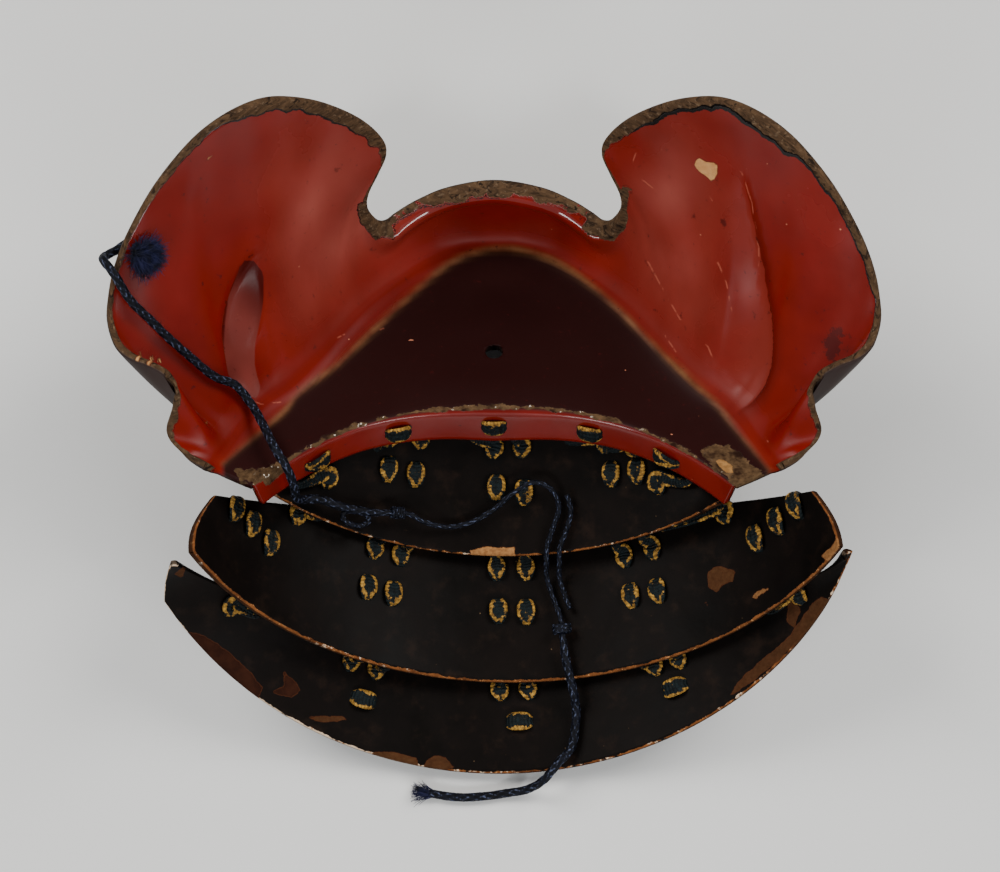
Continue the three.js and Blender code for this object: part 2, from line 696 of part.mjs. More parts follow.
// A knot or binding round the cord: a ring with a rounded outside, wide across the cord
const routeCurve = new THREE.CatmullRomCurve3(ROUTE, false, "centripetal");
function binding({ share, length, wall, wide }) {
  const inner = CORD / 2 + CORD_GAP;
  const profile = [
    [inner, -length / 2], [inner + wall * 0.7, -length / 2], [inner + wall, -length / 4],
    [inner + wall, length / 4], [inner + wall * 0.7, length / 2], [inner, length / 2], [inner, -length / 2],
  ].map(([r, z]) => new THREE.Vector2(r, z));
  const ring = new THREE.LatheGeometry(profile, 12).rotateX(Math.PI / 2).scale(wide, 1, 1);
  const along = routeCurve.getTangent(share);
  const level = V(along.y, -along.x, 0).normalize();
  const basis = new THREE.Matrix4().makeBasis(level, along.clone().cross(level), along);
  basis.setPosition(routeCurve.getPoint(share));
  return merged(ring.applyMatrix4(basis));
}
for (const knot of BINDINGS) add(knot.name, binding(knot), CORD_BLUE);

// Frayed tuft: locks fused to a flat head over the hole
const tuftSeat = TIE_AT.clone().addScaledVector(TIE_OUT, 0.5 + CORD_GAP);
const headThick = TUFT_HEAD * 0.4;
const head = new THREE.CylinderGeometry(TUFT_HEAD * 0.35, TUFT_HEAD / 2, headThick, 10).rotateX(Math.PI / 2);
const headAt = tuftSeat.clone().addScaledVector(TIE_OUT, headThick / 2);
let tuft = solidOf(merged(aim(head, headAt, TIE_OUT)));
const tuftAcross = V(1, 0, 0).addScaledVector(TIE_OUT, -TIE_OUT.x).normalize();
const tuftDown = TIE_OUT.clone().cross(tuftAcross);
// Each lock's angle round the hole in degrees, and its length as a share of TUFT_LOCK
const LOCKS = [
  [-28, 1.1], [2, 1.2], [30, 0.95], [58, 0.8], [92, 0.6],
  [-58, 0.85], [-95, 0.7], [-140, 0.45], [150, 0.45],
];
for (const [angle, share] of LOCKS) {
  const way = tuftAcross.clone().multiplyScalar(Math.cos(angle * DEG));
  way.addScaledVector(tuftDown, -Math.sin(angle * DEG));
  way.addScaledVector(TIE_OUT, 0.16).normalize();
  const length = TUFT_LOCK * share + TUFT_HEAD * 0.3;
  const lock = new THREE.CylinderGeometry(0.75, 0.3, length, 6).rotateX(-Math.PI / 2);
  const middle = tuftSeat.clone().addScaledVector(TIE_OUT, headThick * 0.5);
  middle.addScaledVector(way, length / 2);
  tuft = tuft.add(solidOf(merged(aim(lock, middle, way))));
}
add("tuft", geometryOf(tuft), CORD_BLUE);

export default group;
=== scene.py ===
# Samurai half mask with its laced throat guard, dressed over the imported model.
import math

import bpy
import numpy as np
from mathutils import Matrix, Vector, noise


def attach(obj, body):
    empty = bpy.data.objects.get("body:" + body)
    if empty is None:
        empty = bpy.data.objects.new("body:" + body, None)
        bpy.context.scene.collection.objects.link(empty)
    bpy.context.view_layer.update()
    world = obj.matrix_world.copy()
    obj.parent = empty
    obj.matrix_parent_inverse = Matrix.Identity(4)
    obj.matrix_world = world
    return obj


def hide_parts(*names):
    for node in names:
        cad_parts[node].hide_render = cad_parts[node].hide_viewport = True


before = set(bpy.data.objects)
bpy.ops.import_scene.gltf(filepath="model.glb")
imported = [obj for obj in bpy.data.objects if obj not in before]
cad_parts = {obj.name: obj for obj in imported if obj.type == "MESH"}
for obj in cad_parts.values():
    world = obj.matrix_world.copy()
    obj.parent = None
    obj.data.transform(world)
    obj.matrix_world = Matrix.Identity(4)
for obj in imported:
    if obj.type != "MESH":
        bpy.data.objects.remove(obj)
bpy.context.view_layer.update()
MM = 0.001
DEG = math.pi / 180

# The part's own named sizes, in millimetres
HALF_WIDTH, CHIN_REACH, CHEEK_HEIGHT = 92.5, 62.3, 71.0
NECK_HALF, NECK_REACH, NECK_POWER = 58.6, 26.0, 2.7
HEM_DROP, HEM_END, FLOOR_DISH = 11.0, 8.0, 2.0
MASK_WALL, MASK_LEAN, FOLD_HEIGHT, FOLD_BACK = 2.0, 30.0, 33.3, 1.2
LAME_WALL, LAME_BELLY = 1.6, 0.6
LACE_WIDTH, LACE_THICK, LACE_GAP, LOOP_LENGTH = 2.8, 0.9, 0.6, 6.2
SWEAT_HOLE, SWEAT_SHARE = 4.6, 0.376
CORD = 2.2
NECK_TURN, CORNER = 0.79, 15
LIP_ROLL, LIP_RISE = 10.0, 3.2
# Millimetres to a pixel of the picture: over the sheets, and as worn patches are measured
PX, PATCH_PX = 0.25, 0.24
SET_DOWN = np.array([0, 7.5, 0.4])

# Wall of the mask from mid chin to back corner: foot x y, belly x y z, top x y z, then the
# width of the raw rim at the left and at the right in millimetres
WALL = np.array([
    [0, 1, 0, 1.007, 0.157, 0, 0.94, 0.338, 1.5, 1.5],
    [0.07, 0.994, 0.095, 0.997, 0.157, 0.128, 0.925, 0.314, 1.2, 1.1],
    [0.141, 0.958, 0.186, 0.955, 0.151, 0.212, 0.896, 0.275, 0.3, 0.4],
    [0.206, 0.888, 0.251, 0.896, 0.137, 0.265, 0.858, 0.249, 0.1, 0.1],
    [0.261, 0.809, 0.296, 0.843, 0.124, 0.299, 0.836, 0.228, 0.3, 0.8],
    [0.307, 0.728, 0.342, 0.799, 0.144, 0.33, 0.806, 0.255, 4.2, 5.2],
    [0.347, 0.649, 0.382, 0.754, 0.183, 0.354, 0.784, 0.334, 4.2, 4.4],
    [0.382, 0.567, 0.412, 0.709, 0.223, 0.349, 0.784, 0.415, 2.2, 3.0],
    [0.412, 0.485, 0.432, 0.687, 0.262, 0.32, 0.799, 0.5, 1.0, 1.3],
    [0.442, 0.4, 0.452, 0.649, 0.301, 0.296, 0.806, 0.585, 1.2, 0.8],
    [0.467, 0.325, 0.477, 0.604, 0.34, 0.307, 0.799, 0.656, 2.2, 1.5],
    [0.495, 0.251, 0.513, 0.552, 0.38, 0.352, 0.761, 0.757, 2.8, 2.8],
    [0.523, 0.179, 0.553, 0.5, 0.419, 0.421, 0.709, 0.853, 3.2, 2.4],
    [0.55, 0.119, 0.588, 0.44, 0.445, 0.496, 0.649, 0.932, 2.4, 1.9],
    [0.58, 0.069, 0.623, 0.381, 0.452, 0.581, 0.575, 0.99, 2.8, 2.4],
    [0.608, 0.034, 0.658, 0.328, 0.432, 0.658, 0.5, 1, 2.4, 3.2],
    [0.626, 0, 0.739, 0.224, 0.406, 0.737, 0.418, 0.974, 1.2, 3.4],
    [0.637, -0.03, 0.784, 0.142, 0.399, 0.809, 0.328, 0.92, 1.1, 3.0],
    [0.648, -0.06, 0.829, 0.067, 0.38, 0.884, 0.224, 0.83, 1.1, 2.2],
    [0.659, -0.09, 0.859, -0.007, 0.34, 0.949, 0.119, 0.713, 1.1, 1.8],
    [0.67, -0.119, 0.874, -0.067, 0.288, 0.989, 0.015, 0.596, 1.0, 1.5],
    [0.68, -0.146, 0.869, -0.112, 0.242, 1, -0.045, 0.513, 0.9, 1.3],
    [0.689, -0.172, 0.854, -0.142, 0.209, 0.982, -0.104, 0.438, 1.0, 1.2],
    [0.697, -0.191, 0.829, -0.164, 0.183, 0.946, -0.134, 0.391, 1.0, 1.1],
    [0.706, -0.212, 0.799, -0.187, 0.164, 0.89, -0.157, 0.365, 1.0, 1.2],
    [0.714, -0.233, 0.779, -0.209, 0.144, 0.848, -0.179, 0.334, 1.2, 1.6],
    [0.722, -0.254, 0.774, -0.231, 0.124, 0.834, -0.209, 0.283, 1.3, 1.5],
    [0.729, -0.275, 0.779, -0.254, 0.092, 0.844, -0.239, 0.208, 1.4, 1.2],
    [0.736, -0.294, 0.789, -0.279, 0.059, 0.864, -0.269, 0.122, 1.6, 1.2],
    [0.74, -0.31, 0.779, -0.303, 0.037, 0.834, -0.299, 0.067, 1.8, 1.4],
    [0.738, -0.328, 0.752, -0.325, 0.017, 0.764, -0.328, 0.031, 2.2, 1.6],
])

# Lames: side, back, up, radius, lean, roll, yaw, left, right of the upper and the lower arc
LAMES = {
    "lame_1": [[0, 4.6, 21.8, 79.9, -63.5, 0, 0, 45, 45], [-0.8, -31.3, 10.5, 75, 24, -1, -2, 49, 49]],
    "lame_2": [[2, -19.5, 6, 91, -5, 0, 0, 55, 59], [4, -63.4, 7.2, 83.5, 28, 1, 0, 67, 69]],
    "lame_3": [[3, -50.5, 3, 95.5, 12, 0, 0, 56, 60], [8, -86, 3.8, 92, 50, -5, 3, 67, 67.5]],
}

# Lace columns: place on the flange, then the holes in each lame
LACES = {
    "left": (-0.42, [[(-0.43, 0.85), (-0.3, 0.8)], [(-0.43, 0.6), (-0.315, 0.55)]],
             [[(-0.377, 0.73), (-0.299, 0.7)], [(-0.392, 0.486), (-0.318, 0.473)]],
             [[(-0.43, 0.66), (-0.36, 0.64)], (-0.392, 0.4)]),
    "middle": (0, [[(0.0, 0.71), (0.115, 0.72)], [(0.016, 0.46), (0.128, 0.43)]],
               [[(-0.022, 0.645), (0.058, 0.645)], [(-0.022, 0.417), (0.052, 0.411)]],
               [[(-0.036, 0.57), (0.036, 0.57)], (0.002, 0.36)]),
    "right": (0.42, [[(0.46, 0.82), (0.585, 0.84)], [(0.49, 0.59), (0.602, 0.64)]],
              [[(0.328, 0.68), (0.41, 0.71)], [(0.334, 0.45), (0.408, 0.45)]],
              [[(0.36, 0.6), (0.425, 0.6)], (0.395, 0.38)]),
}
END_LACES = {
    "left": (-1, -0.77, (-0.7, 0.5), (-0.63, 0.9), -0.7, (-0.8, 0.75),
             [(-0.71, 0.64), (-0.782, 0.765), (-0.85, 0.88)]),
    "right": (1, 0.75, (0.7, 0.5), (0.64, 0.9), 0.7, (0.8, 0.7),
              [(0.724, 0.65), (0.805, 0.75), (0.885, 0.86)]),
}


# Camera
TARGET = np.array([0.744, 7.5, 28.3])
VIEW_UP, VIEW_FAR, LENS, SENSOR = 75 * DEG, 669.6, 95.0, 36.0
IMAGE = (1000, 872)
SHIFT = (0.003, -0.016)
EYE = TARGET + VIEW_FAR * np.array([0, -math.cos(VIEW_UP), math.sin(VIEW_UP)])
cam = bpy.data.cameras.new("camera")
cam.lens, cam.sensor_width, cam.sensor_fit = LENS, SENSOR, "HORIZONTAL"
cam.shift_x, cam.shift_y = SHIFT
cam.clip_start = 0.01
camera = bpy.data.objects.new("camera", cam)
camera.location = EYE * MM
camera.rotation_euler = (math.pi / 2 - VIEW_UP, 0, 0)
bpy.context.scene.collection.objects.link(camera)
bpy.context.scene.camera = camera


def picture(p):
    """Where points, in mm, come in the 1000 x 872 picture."""
    d = np.asarray(p, float) - EYE
    up = np.array([0, math.sin(VIEW_UP), math.cos(VIEW_UP)])
    ahead = np.array([0, math.cos(VIEW_UP), -math.sin(VIEW_UP)])
    depth = d @ ahead
    k = LENS / SENSOR * IMAGE[0] / depth
    x = IMAGE[0] * (0.5 - SHIFT[0]) + d[..., 0] * k
    y = IMAGE[1] / 2 + SHIFT[1] * IMAGE[0] - (d @ up) * k
    return np.stack([x, y], axis=-1)


# Curves and grids
def catmull(points, steps, closed=False):
    """Smooth curve through points or rows of points, with steps samples a span."""
    P = np.asarray(points, float)
    n = len(P)
    if closed:
        P = np.concatenate([P[-1:], P, P[:2]])
    else:
        P = np.concatenate([2 * P[:1] - P[1:2], P, 2 * P[-1:] - P[-2:-1]])
    out = []
    for i in range(1, len(P) - 2):
        p0, p1, p2, p3 = P[i - 1:i + 3]
        for s in range(steps):
            t = s / steps
            out.append(0.5 * (2 * p1 + (p2 - p0) * t + (2 * p0 - 5 * p1 + 4 * p2 - p3) * t * t
                              + (3 * p1 - p0 - 3 * p2 + p3) * t ** 3))
    if not closed:
        out.append(P[-2])
    return np.array(out[:n * steps] if closed else out)


def hold(x):
    """x held within 0 and 1."""
    return np.clip(x, 0, 1)


def unit(a):
    return a / np.maximum(np.linalg.norm(a, axis=-1, keepdims=True), 1e-9)


def run_along(P, axis=0):
    """Distance run along a line or, on the given axis, along each line of a grid."""
    step = np.linalg.norm(np.diff(P, axis=axis), axis=-1)
    return np.concatenate([np.zeros_like(step.take([0], axis)), np.cumsum(step, axis=axis)], axis=axis)


def wobble(p, scale, seed=0.0):
    """Smooth noise from -1 to 1 at each point; scale is the size of its forms in mm."""
    flat = np.asarray(p, float).reshape(-1, 3) / scale + seed
    return np.array([noise.noise(Vector(q)) for q in flat]).reshape(np.shape(p)[:-1])


def segment_distance(q, line):
    """Distance in the picture from q to a line of points, its side (+ to the right) and share."""
    q = np.asarray(q, float)
    best = np.full(q.shape[:-1], 1e9)
    side = np.zeros(q.shape[:-1])
    share = np.zeros(q.shape[:-1])
    L = np.asarray(line, float)
    for k, (a, b) in enumerate(zip(L[:-1], L[1:])):
        ab = b - a
        t = hold(((q - a) @ ab) / (ab @ ab))
        c = a + t[..., None] * ab
        d = np.linalg.norm(q - c, axis=-1)
        s = np.sign(ab[0] * (q[..., 1] - a[1]) - ab[1] * (q[..., 0] - a[0]))
        near = d < best
        best = np.where(near, d, best)
        side = np.where(near, s, side)
        share = np.where(near, (k + t) / (len(L) - 1), share)
    return best, side, share


def inside_distance(q, ring):
    """Signed distance in the picture to a closed shape, positive inside."""
    R = np.asarray(ring, float)
    d, _, _ = segment_distance(q, np.concatenate([R, R[:1]]))
    x, y = q[..., 0], q[..., 1]
    odd = np.zeros(x.shape, bool)
    for (x0, y0), (x1, y1) in zip(R, np.roll(R, -1, axis=0)):
        cross = (y0 > y) != (y1 > y)
        with np.errstate(divide="ignore", invalid="ignore"):
            xs = (x1 - x0) * (y - y0) / (y1 - y0 + 1e-12) + x0
        odd ^= cross & (x < xs)
    return np.where(odd, d, -d)


def make_mesh(name, verts, faces, attrs, material):
    verts = np.array(verts, float)
    verts[:, 2] = np.maximum(verts[:, 2], 0)
    mesh = bpy.data.meshes.new(name)
    mesh.from_pydata((verts * MM).tolist(), [], faces)
    for key, values in attrs.items():
        a = mesh.attributes.new(key, "FLOAT", "POINT")
        a.data.foreach_set("value", np.asarray(values, np.float32).ravel())
    mesh.polygons.foreach_set("use_smooth", [True] * len(mesh.polygons))
    mesh.materials.append(material)
    mesh.validate()
    mesh.update()
    obj = bpy.data.objects.new(name, mesh)
    bpy.context.scene.collection.objects.link(obj)
    return obj


def dress(obj, node=None):
    """The piece rides on the one body and, when a part is named, stands for that solid of the part, which
    is hidden.
    """
    if node:
        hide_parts(node)
    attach(obj, "root")


def tube_faces(n, m, closed=False, base=0):
    """Faces of a tube of n rings of m points, with its ends covered unless it is closed."""
    faces = []
    for i in range(n if closed else n - 1):
        a, b = base + i * m, base + (i + 1) % n * m
        faces += [(a + j, a + (j + 1) % m, b + (j + 1) % m, b + j) for j in range(m)]
    if not closed:
        faces += [tuple(range(base, base + m))[::-1], tuple(range(base + (n - 1) * m, base + n * m))]
    return faces


EDGE_RINGS = 3


def sheet_mesh(name, inner, outer, attrs, material, bulge, hole=None):
    """A sheet with rounded edges from its inner and outer grids. attrs are grids of values."""
    n, m = inner.shape[:2]
    share = np.arange(1, EDGE_RINGS + 1) / (EDGE_RINGS + 1)

    def edge(a, b, out):
        return [a * (1 - k) + b * k + out * bulge * math.sin(math.pi * k) for k in share]

    ring = [inner[:, j] for j in range(m)]
    ring += edge(inner[:, -1], outer[:, -1], unit(inner[:, -1] - inner[:, -2]))
    ring += [outer[:, j] for j in reversed(range(m))]
    ring += edge(outer[:, 0], inner[:, 0], unit(inner[:, 0] - inner[:, 1]))
    R = len(ring)
    source = [*range(m)] + [m - 1] * EDGE_RINGS + [*reversed(range(m))] + [0] * EDGE_RINGS
    data = {key: grid[:, source].reshape(-1) for key, grid in attrs.items()}
    data["side"] = np.tile(np.concatenate([np.zeros(m), share, np.ones(m), 1 - share]), n)
    cut = np.zeros((n, R), bool)
    if hole is not None:
        cut[:, :m] = hole
        cut[:, m + EDGE_RINGS:2 * m + EDGE_RINGS] = hole[:, ::-1]
    faces = []
    for i in range(n - 1):
        for j in range(R):
            k = (j + 1) % R
            if not (cut[i, j] and cut[i + 1, j] and cut[i, k] and cut[i + 1, k]):
                faces.append((i * R + j, (i + 1) * R + j, (i + 1) * R + k, i * R + k))

    def opposite(v):
        return v // R * R + 2 * m + EDGE_RINGS - 1 - v % R

    for i, way in ((0, 1), (n - 1, -1)):
        for v in range(i * R, i * R + m - 1):
            faces.append((v, v + 1, opposite(v + 1), opposite(v))[::way])
    # Walls of the hole join the two sheets round the missing patch
    edges = {pair for f in faces for pair in zip(f, f[1:] + f[:1])}
    for a, b in [pair for f in faces for pair in zip(f, f[1:] + f[:1])]:
        if (b, a) not in edges and a % R < m and b % R < m:
            faces.append((b, a, opposite(a), opposite(b)))
    return make_mesh(name, np.stack(ring, axis=1).reshape(-1, 3), faces, data, material)


# The mask's surface
def lie(p):
    """From the mask's own frame to where it lies, tipped back on its fold."""
    c, s = math.cos(-MASK_LEAN * DEG), math.sin(-MASK_LEAN * DEG)
    p = np.asarray(p, float)
    x, y, z = p[..., 0], p[..., 1], p[..., 2]
    return np.stack([x, y * c - z * s + FOLD_BACK, y * s + z * c + FOLD_HEIGHT], axis=-1)


def lie_turn(d):
    return lie(d) - lie(np.zeros(3))


def neck_edge(share):
    """The fold between wall and flange, from mid chin (0) to the back corner (1)."""
    share = np.abs(share)
    return np.array([NECK_HALF * share, -NECK_REACH * share ** NECK_POWER, 0])


def mask_controls(i, side):
    """hem, fold, two floor points, foot, belly and top of a column, in the mask's frame."""
    w = WALL[i]
    last = len(WALL) - 1
    size = np.array([HALF_WIDTH, CHIN_REACH, CHEEK_HEIGHT])
    foot, belly, top = np.array([*w[:2], 0]) * size, w[2:5] * size, w[5:8] * size
    if i <= CORNER:
        share = NECK_TURN * w[0] / WALL[CORNER][0]
    else:
        share = NECK_TURN + (1 - NECK_TURN) * (i - CORNER) / (last - CORNER)
    fold = neck_edge(share)
    hem = np.array([fold[0] * 0.97, fold[1] + share, -(HEM_DROP + (HEM_END - HEM_DROP) * share)])
    pts = [hem, fold]
    for v in (1 / 3, 2 / 3):
        p = fold * (1 - v) + foot * v
        p[2] = -FLOOR_DISH * 4 * v * (1 - v) * (1 - share ** 2)
        pts.append(p)
    pts += [foot, belly, top]
    return np.array(pts) * np.array([side, 1, 1])


ACROSS = 6
controls = np.array([mask_controls(i, -1) for i in range(len(WALL) - 1, 0, -1)]
                    + [mask_controls(i, 1) for i in range(len(WALL))])
columns = catmull(controls, ACROSS)
column_index = np.abs(np.linspace(-(len(WALL) - 1), len(WALL) - 1, len(columns)))
column_side = np.sign(np.linspace(-1, 1, len(columns)))
raw_sides = [np.interp(column_index, range(len(WALL)), WALL[:, k]) for k in (8, 9)]
raw_width = np.where(column_side < 0, *raw_sides)

FLANGE_ROWS, WALL_ROWS = 12, 50
floor_rows = sorted(set(np.round(np.concatenate([
    np.linspace(0, 1, 25), np.linspace(SWEAT_SHARE - 0.055, SWEAT_SHARE + 0.055, 11)]), 4)))
rows = []
for v in np.linspace(0, 1, FLANGE_ROWS, endpoint=False):
    rows.append(columns[:, 0] * (1 - v) + columns[:, 1] * v)
for v in floor_rows[:-1]:
    t = v * 3
    weights = [-(t - 1) * (t - 2) * (t - 3) / 6, t * (t - 2) * (t - 3) / 2,
               -t * (t - 1) * (t - 3) / 2, t * (t - 1) * (t - 2) / 6]
    rows.append(sum(w * columns[:, 1 + k] for k, w in enumerate(weights)))
for v in np.linspace(0, 1, WALL_ROWS):
    rows.append(columns[:, 4] * 2 * (v - 0.5) * (v - 1) + columns[:, 5] * 4 * v * (1 - v)
                + columns[:, 6] * 2 * v * (v - 0.5))
mask = np.stack(rows, axis=1)
FOLD_ROW = FLANGE_ROWS
FOOT_ROW = FLANGE_ROWS + len(floor_rows) - 1


def soften(G, row, reach, times):
    for _ in range(times):
        a, b = row - reach, row + reach + 1
        G[:, a:b] = 0.5 * G[:, a:b] + 0.25 * (G[:, a - 1:b - 1] + G[:, a + 1:b + 1])


soften(mask, FOLD_ROW, 2, 3)
soften(mask, FOOT_ROW, 6, 14)
mask = lie(mask) + SET_DOWN
normal_in = unit(np.cross(np.gradient(mask, axis=0), np.gradient(mask, axis=1)))
if np.mean(normal_in[:, FOOT_ROW + 20, 2]) < 0:
    normal_in = -normal_in
plan = picture(mask)

# Cheek folds: a crisp step on one side that fades out on the other. Lines in the picture's plane
POCKET_LEFT = [
    (268, 246), (252, 260), (243, 274), (235, 290), (228, 312), (226, 332), (229, 352), (232, 372),
    (240, 390), (252, 401), (266, 407),
]
POCKET_LOW = [
    (252, 262), (262, 272), (266, 284), (266, 310), (262, 330), (253, 350), (254, 370), (262, 390),
    (268, 404),
]
POCKET_RIGHT = [
    (735, 412), (750, 402), (762, 385), (768, 365), (769, 345), (768, 318), (765, 298), (761, 268),
    (755, 240), (749, 206), (742, 172),
]


def fold_relief(line, deep, crisp, fade):
    """A step along a line: deep in mm, crisp and fade in pixels to either side."""
    d, side, share = segment_distance(plan, line)
    s = -d * side
    ends = hold(np.minimum(share, 1 - share) / 0.28) ** 0.8
    rise = hold(1 + s / crisp) ** 2
    fall = np.exp(-(np.clip(s, 0, None) / fade) ** 1.6)
    return deep * ends * np.where(s < 0, rise, fall)


wall_only = hold((np.arange(mask.shape[1]) - FOOT_ROW + 2) / 4)[None, :]
relief = fold_relief(POCKET_LEFT, 2.4, 5, 26) + fold_relief(POCKET_LOW, 0.4, 6, 22)
relief = (relief + fold_relief(POCKET_RIGHT, 2.0, 6, 42)) * wall_only
relief += 0.35 * wobble(mask, 26, 3.1) + 0.12 * wobble(mask, 9, 7.7)
run = run_along(mask, 1)
from_rim = run[:, -1:] - run
# The lip of the chin is rolled, so that its edge turns up
down_lip = hold(from_rim / LIP_ROLL)
at_chin = hold((6.5 - column_index) / 3)[:, None]
at_chin = at_chin * at_chin * (3 - 2 * at_chin)
relief -= LIP_RISE * 6.75 * down_lip * (1 - down_lip) ** 2 * at_chin
rim_fade = hold((mask.shape[1] - 1 - np.arange(mask.shape[1])) / 2)[None, :]
mask_inner = mask - normal_in * (relief * rim_fade)[..., None]
mask_outer = mask - normal_in * (MASK_WALL + relief * rim_fade * 0.8)[..., None]

# Distance from the fold and from the foot of the wall, and the ragged width of the raw rim
from_fold = np.abs(run - run[:, FOLD_ROW:FOLD_ROW + 1])
from_foot = run - run[:, FOOT_ROW:FOOT_ROW + 1]
along_rim = np.stack([column_index * 3, column_side * 40, 0 * column_index], axis=-1)
ragged = wobble(along_rim, 4.5) * 0.5
jags = 1.3 * np.clip(wobble(along_rim, 1.3, 2.0), -0.6, 1) * np.clip(raw_width / 2.4, 0.25, 1)
raw = (raw_width * (1 + ragged))[:, None] + jags[:, None] - from_rim
# Bare patches below the raw rim
RAW_PATCHES = [
    [(360, 206), (375, 202), (376, 195), (375, 210), (390, 221), (392, 222), (387, 231), (377, 227),
     (362, 221), (359, 212)],
    [(590, 210), (597, 208), (612, 207), (620, 200), (623, 187), (630, 190), (627, 203), (623, 217),
     (617, 233), (607, 230), (595, 227), (588, 220)],
]


def patches(rings, plane=plan):
    """Distance into the nearest of some shapes drawn in the picture, in mm."""
    return np.max([inside_distance(plane, ring) for ring in rings], axis=0) * PATCH_PX


raw = np.maximum(raw, patches(RAW_PATCHES) + 0.25)


# Materials
def srgb(rgb):
    return tuple(c / 255 / 12.92 if c <= 10 else ((c / 255 + 0.055) / 1.055) ** 2.4 for c in rgb)


class Mat:
    """Short words for a node material."""

    def __init__(self, name):
        self.mat = bpy.data.materials.new(name)
        self.mat.use_nodes = True
        self.tree = self.mat.node_tree
        self.shader = self.tree.nodes["Principled BSDF"]
        self.coord = self.tree.nodes.new("ShaderNodeTexCoord")

    def link(self, socket, value):
        if isinstance(value, bpy.types.NodeSocket):
            self.tree.links.new(value, socket)
        elif isinstance(value, tuple) and len(value) == 3 and socket.type == "RGBA":
            socket.default_value = (*value, 1)
        else:
            socket.default_value = value

    def node(self, kind, **values):
        """A node whose named sockets are linked or set."""
        node = self.tree.nodes.new("ShaderNode" + kind)
        for key, value in values.items():
            self.link(node.inputs[key.replace("_", " ")], value)
        return node

    def attr(self, name):
        node = self.node("Attribute")
        node.attribute_name = name
        return node.outputs["Fac"]

    def noise(self, scale, detail=3.0, rough=0.55, warp=0.0, at=None):
        node = self.node("TexNoise", Scale=scale, Detail=detail, Roughness=rough, Distortion=warp)
        self.link(node.inputs["Vector"], at or self.coord.outputs["Object"])
        return node.outputs["Fac"]

    def math(self, op, *values, clamp=False):
        node = self.node("Math")
        node.operation = op
        node.use_clamp = clamp
        for socket, value in zip(node.inputs, values):
            self.link(socket, value)
        return node.outputs[0]

    def times(self, a, b, clamp=False):
        return self.math("MULTIPLY", a, b, clamp=clamp)

    def plus(self, a, b):
        return self.math("ADD", a, b)

    def minus(self, a, b):
        return self.math("SUBTRACT", a, b)

    def most(self, a, b):
        return self.math("MAXIMUM", a, b)

    def size(self, a):
        return self.math("ABSOLUTE", a)

    def jagged(self, scale, detail, rough, amount):
        """Noise round zero, which makes an edge ragged."""
        return self.times(self.minus(self.noise(scale, detail, rough), 0.5), amount)

    def step(self, value, low, high):
        """0 below low, 1 above high, smooth between."""
        node = self.node("MapRange", Value=value, From_Min=low, From_Max=high)
        node.interpolation_type = "SMOOTHSTEP"
        return node.outputs["Result"]

    def spread(self, value, low=0, high=1):
        """Noise stretched to run from low to high."""
        node = self.node("MapRange", Value=value, From_Min=0.3, From_Max=0.7, To_Min=low, To_Max=high)
        return node.outputs["Result"]

    def mix(self, fac, a, b, kind="RGBA", first=6, result=2):
        """a where fac is 0, b where it is 1."""
        node = self.node("Mix", Factor=fac)
        node.data_type = kind
        self.link(node.inputs[first], a)
        self.link(node.inputs[first + 1], b)
        return node.outputs[result]

    def shades(self, value, dark, light):
        """Noise that runs between two colours."""
        return self.mix(self.spread(value), srgb(dark), srgb(light))

    def over(self, color, rgb, where, share=1):
        """A share of a colour laid over another where a mask is 1."""
        return self.mix(where if share == 1 else self.times(where, share), color, srgb(rgb))

    def blend(self, fac, a, b):
        return self.mix(fac, a, b, "FLOAT", 2, 0)

    def stretched(self, x, y, z):
        node = self.node("Mapping", Vector=self.coord.outputs["Object"])
        node.inputs["Scale"].default_value = (x, y, z)
        return node.outputs["Vector"]

    def bump(self, height, strength, distance, after=None):
        node = self.node("Bump", Height=height, Strength=strength, Distance=distance)
        if after is not None:
            self.link(node.inputs["Normal"], after)
        return node.outputs["Normal"]

    def out(self, color, rough, normal=None, **values):
        for key, value in (("Base Color", color), ("Roughness", rough), ("Normal", normal)):
            if value is not None:
                self.link(self.shader.inputs[key], value)
        for key, value in values.items():
            self.shader.inputs[key.replace("_", " ")].default_value = value
        return self.mat


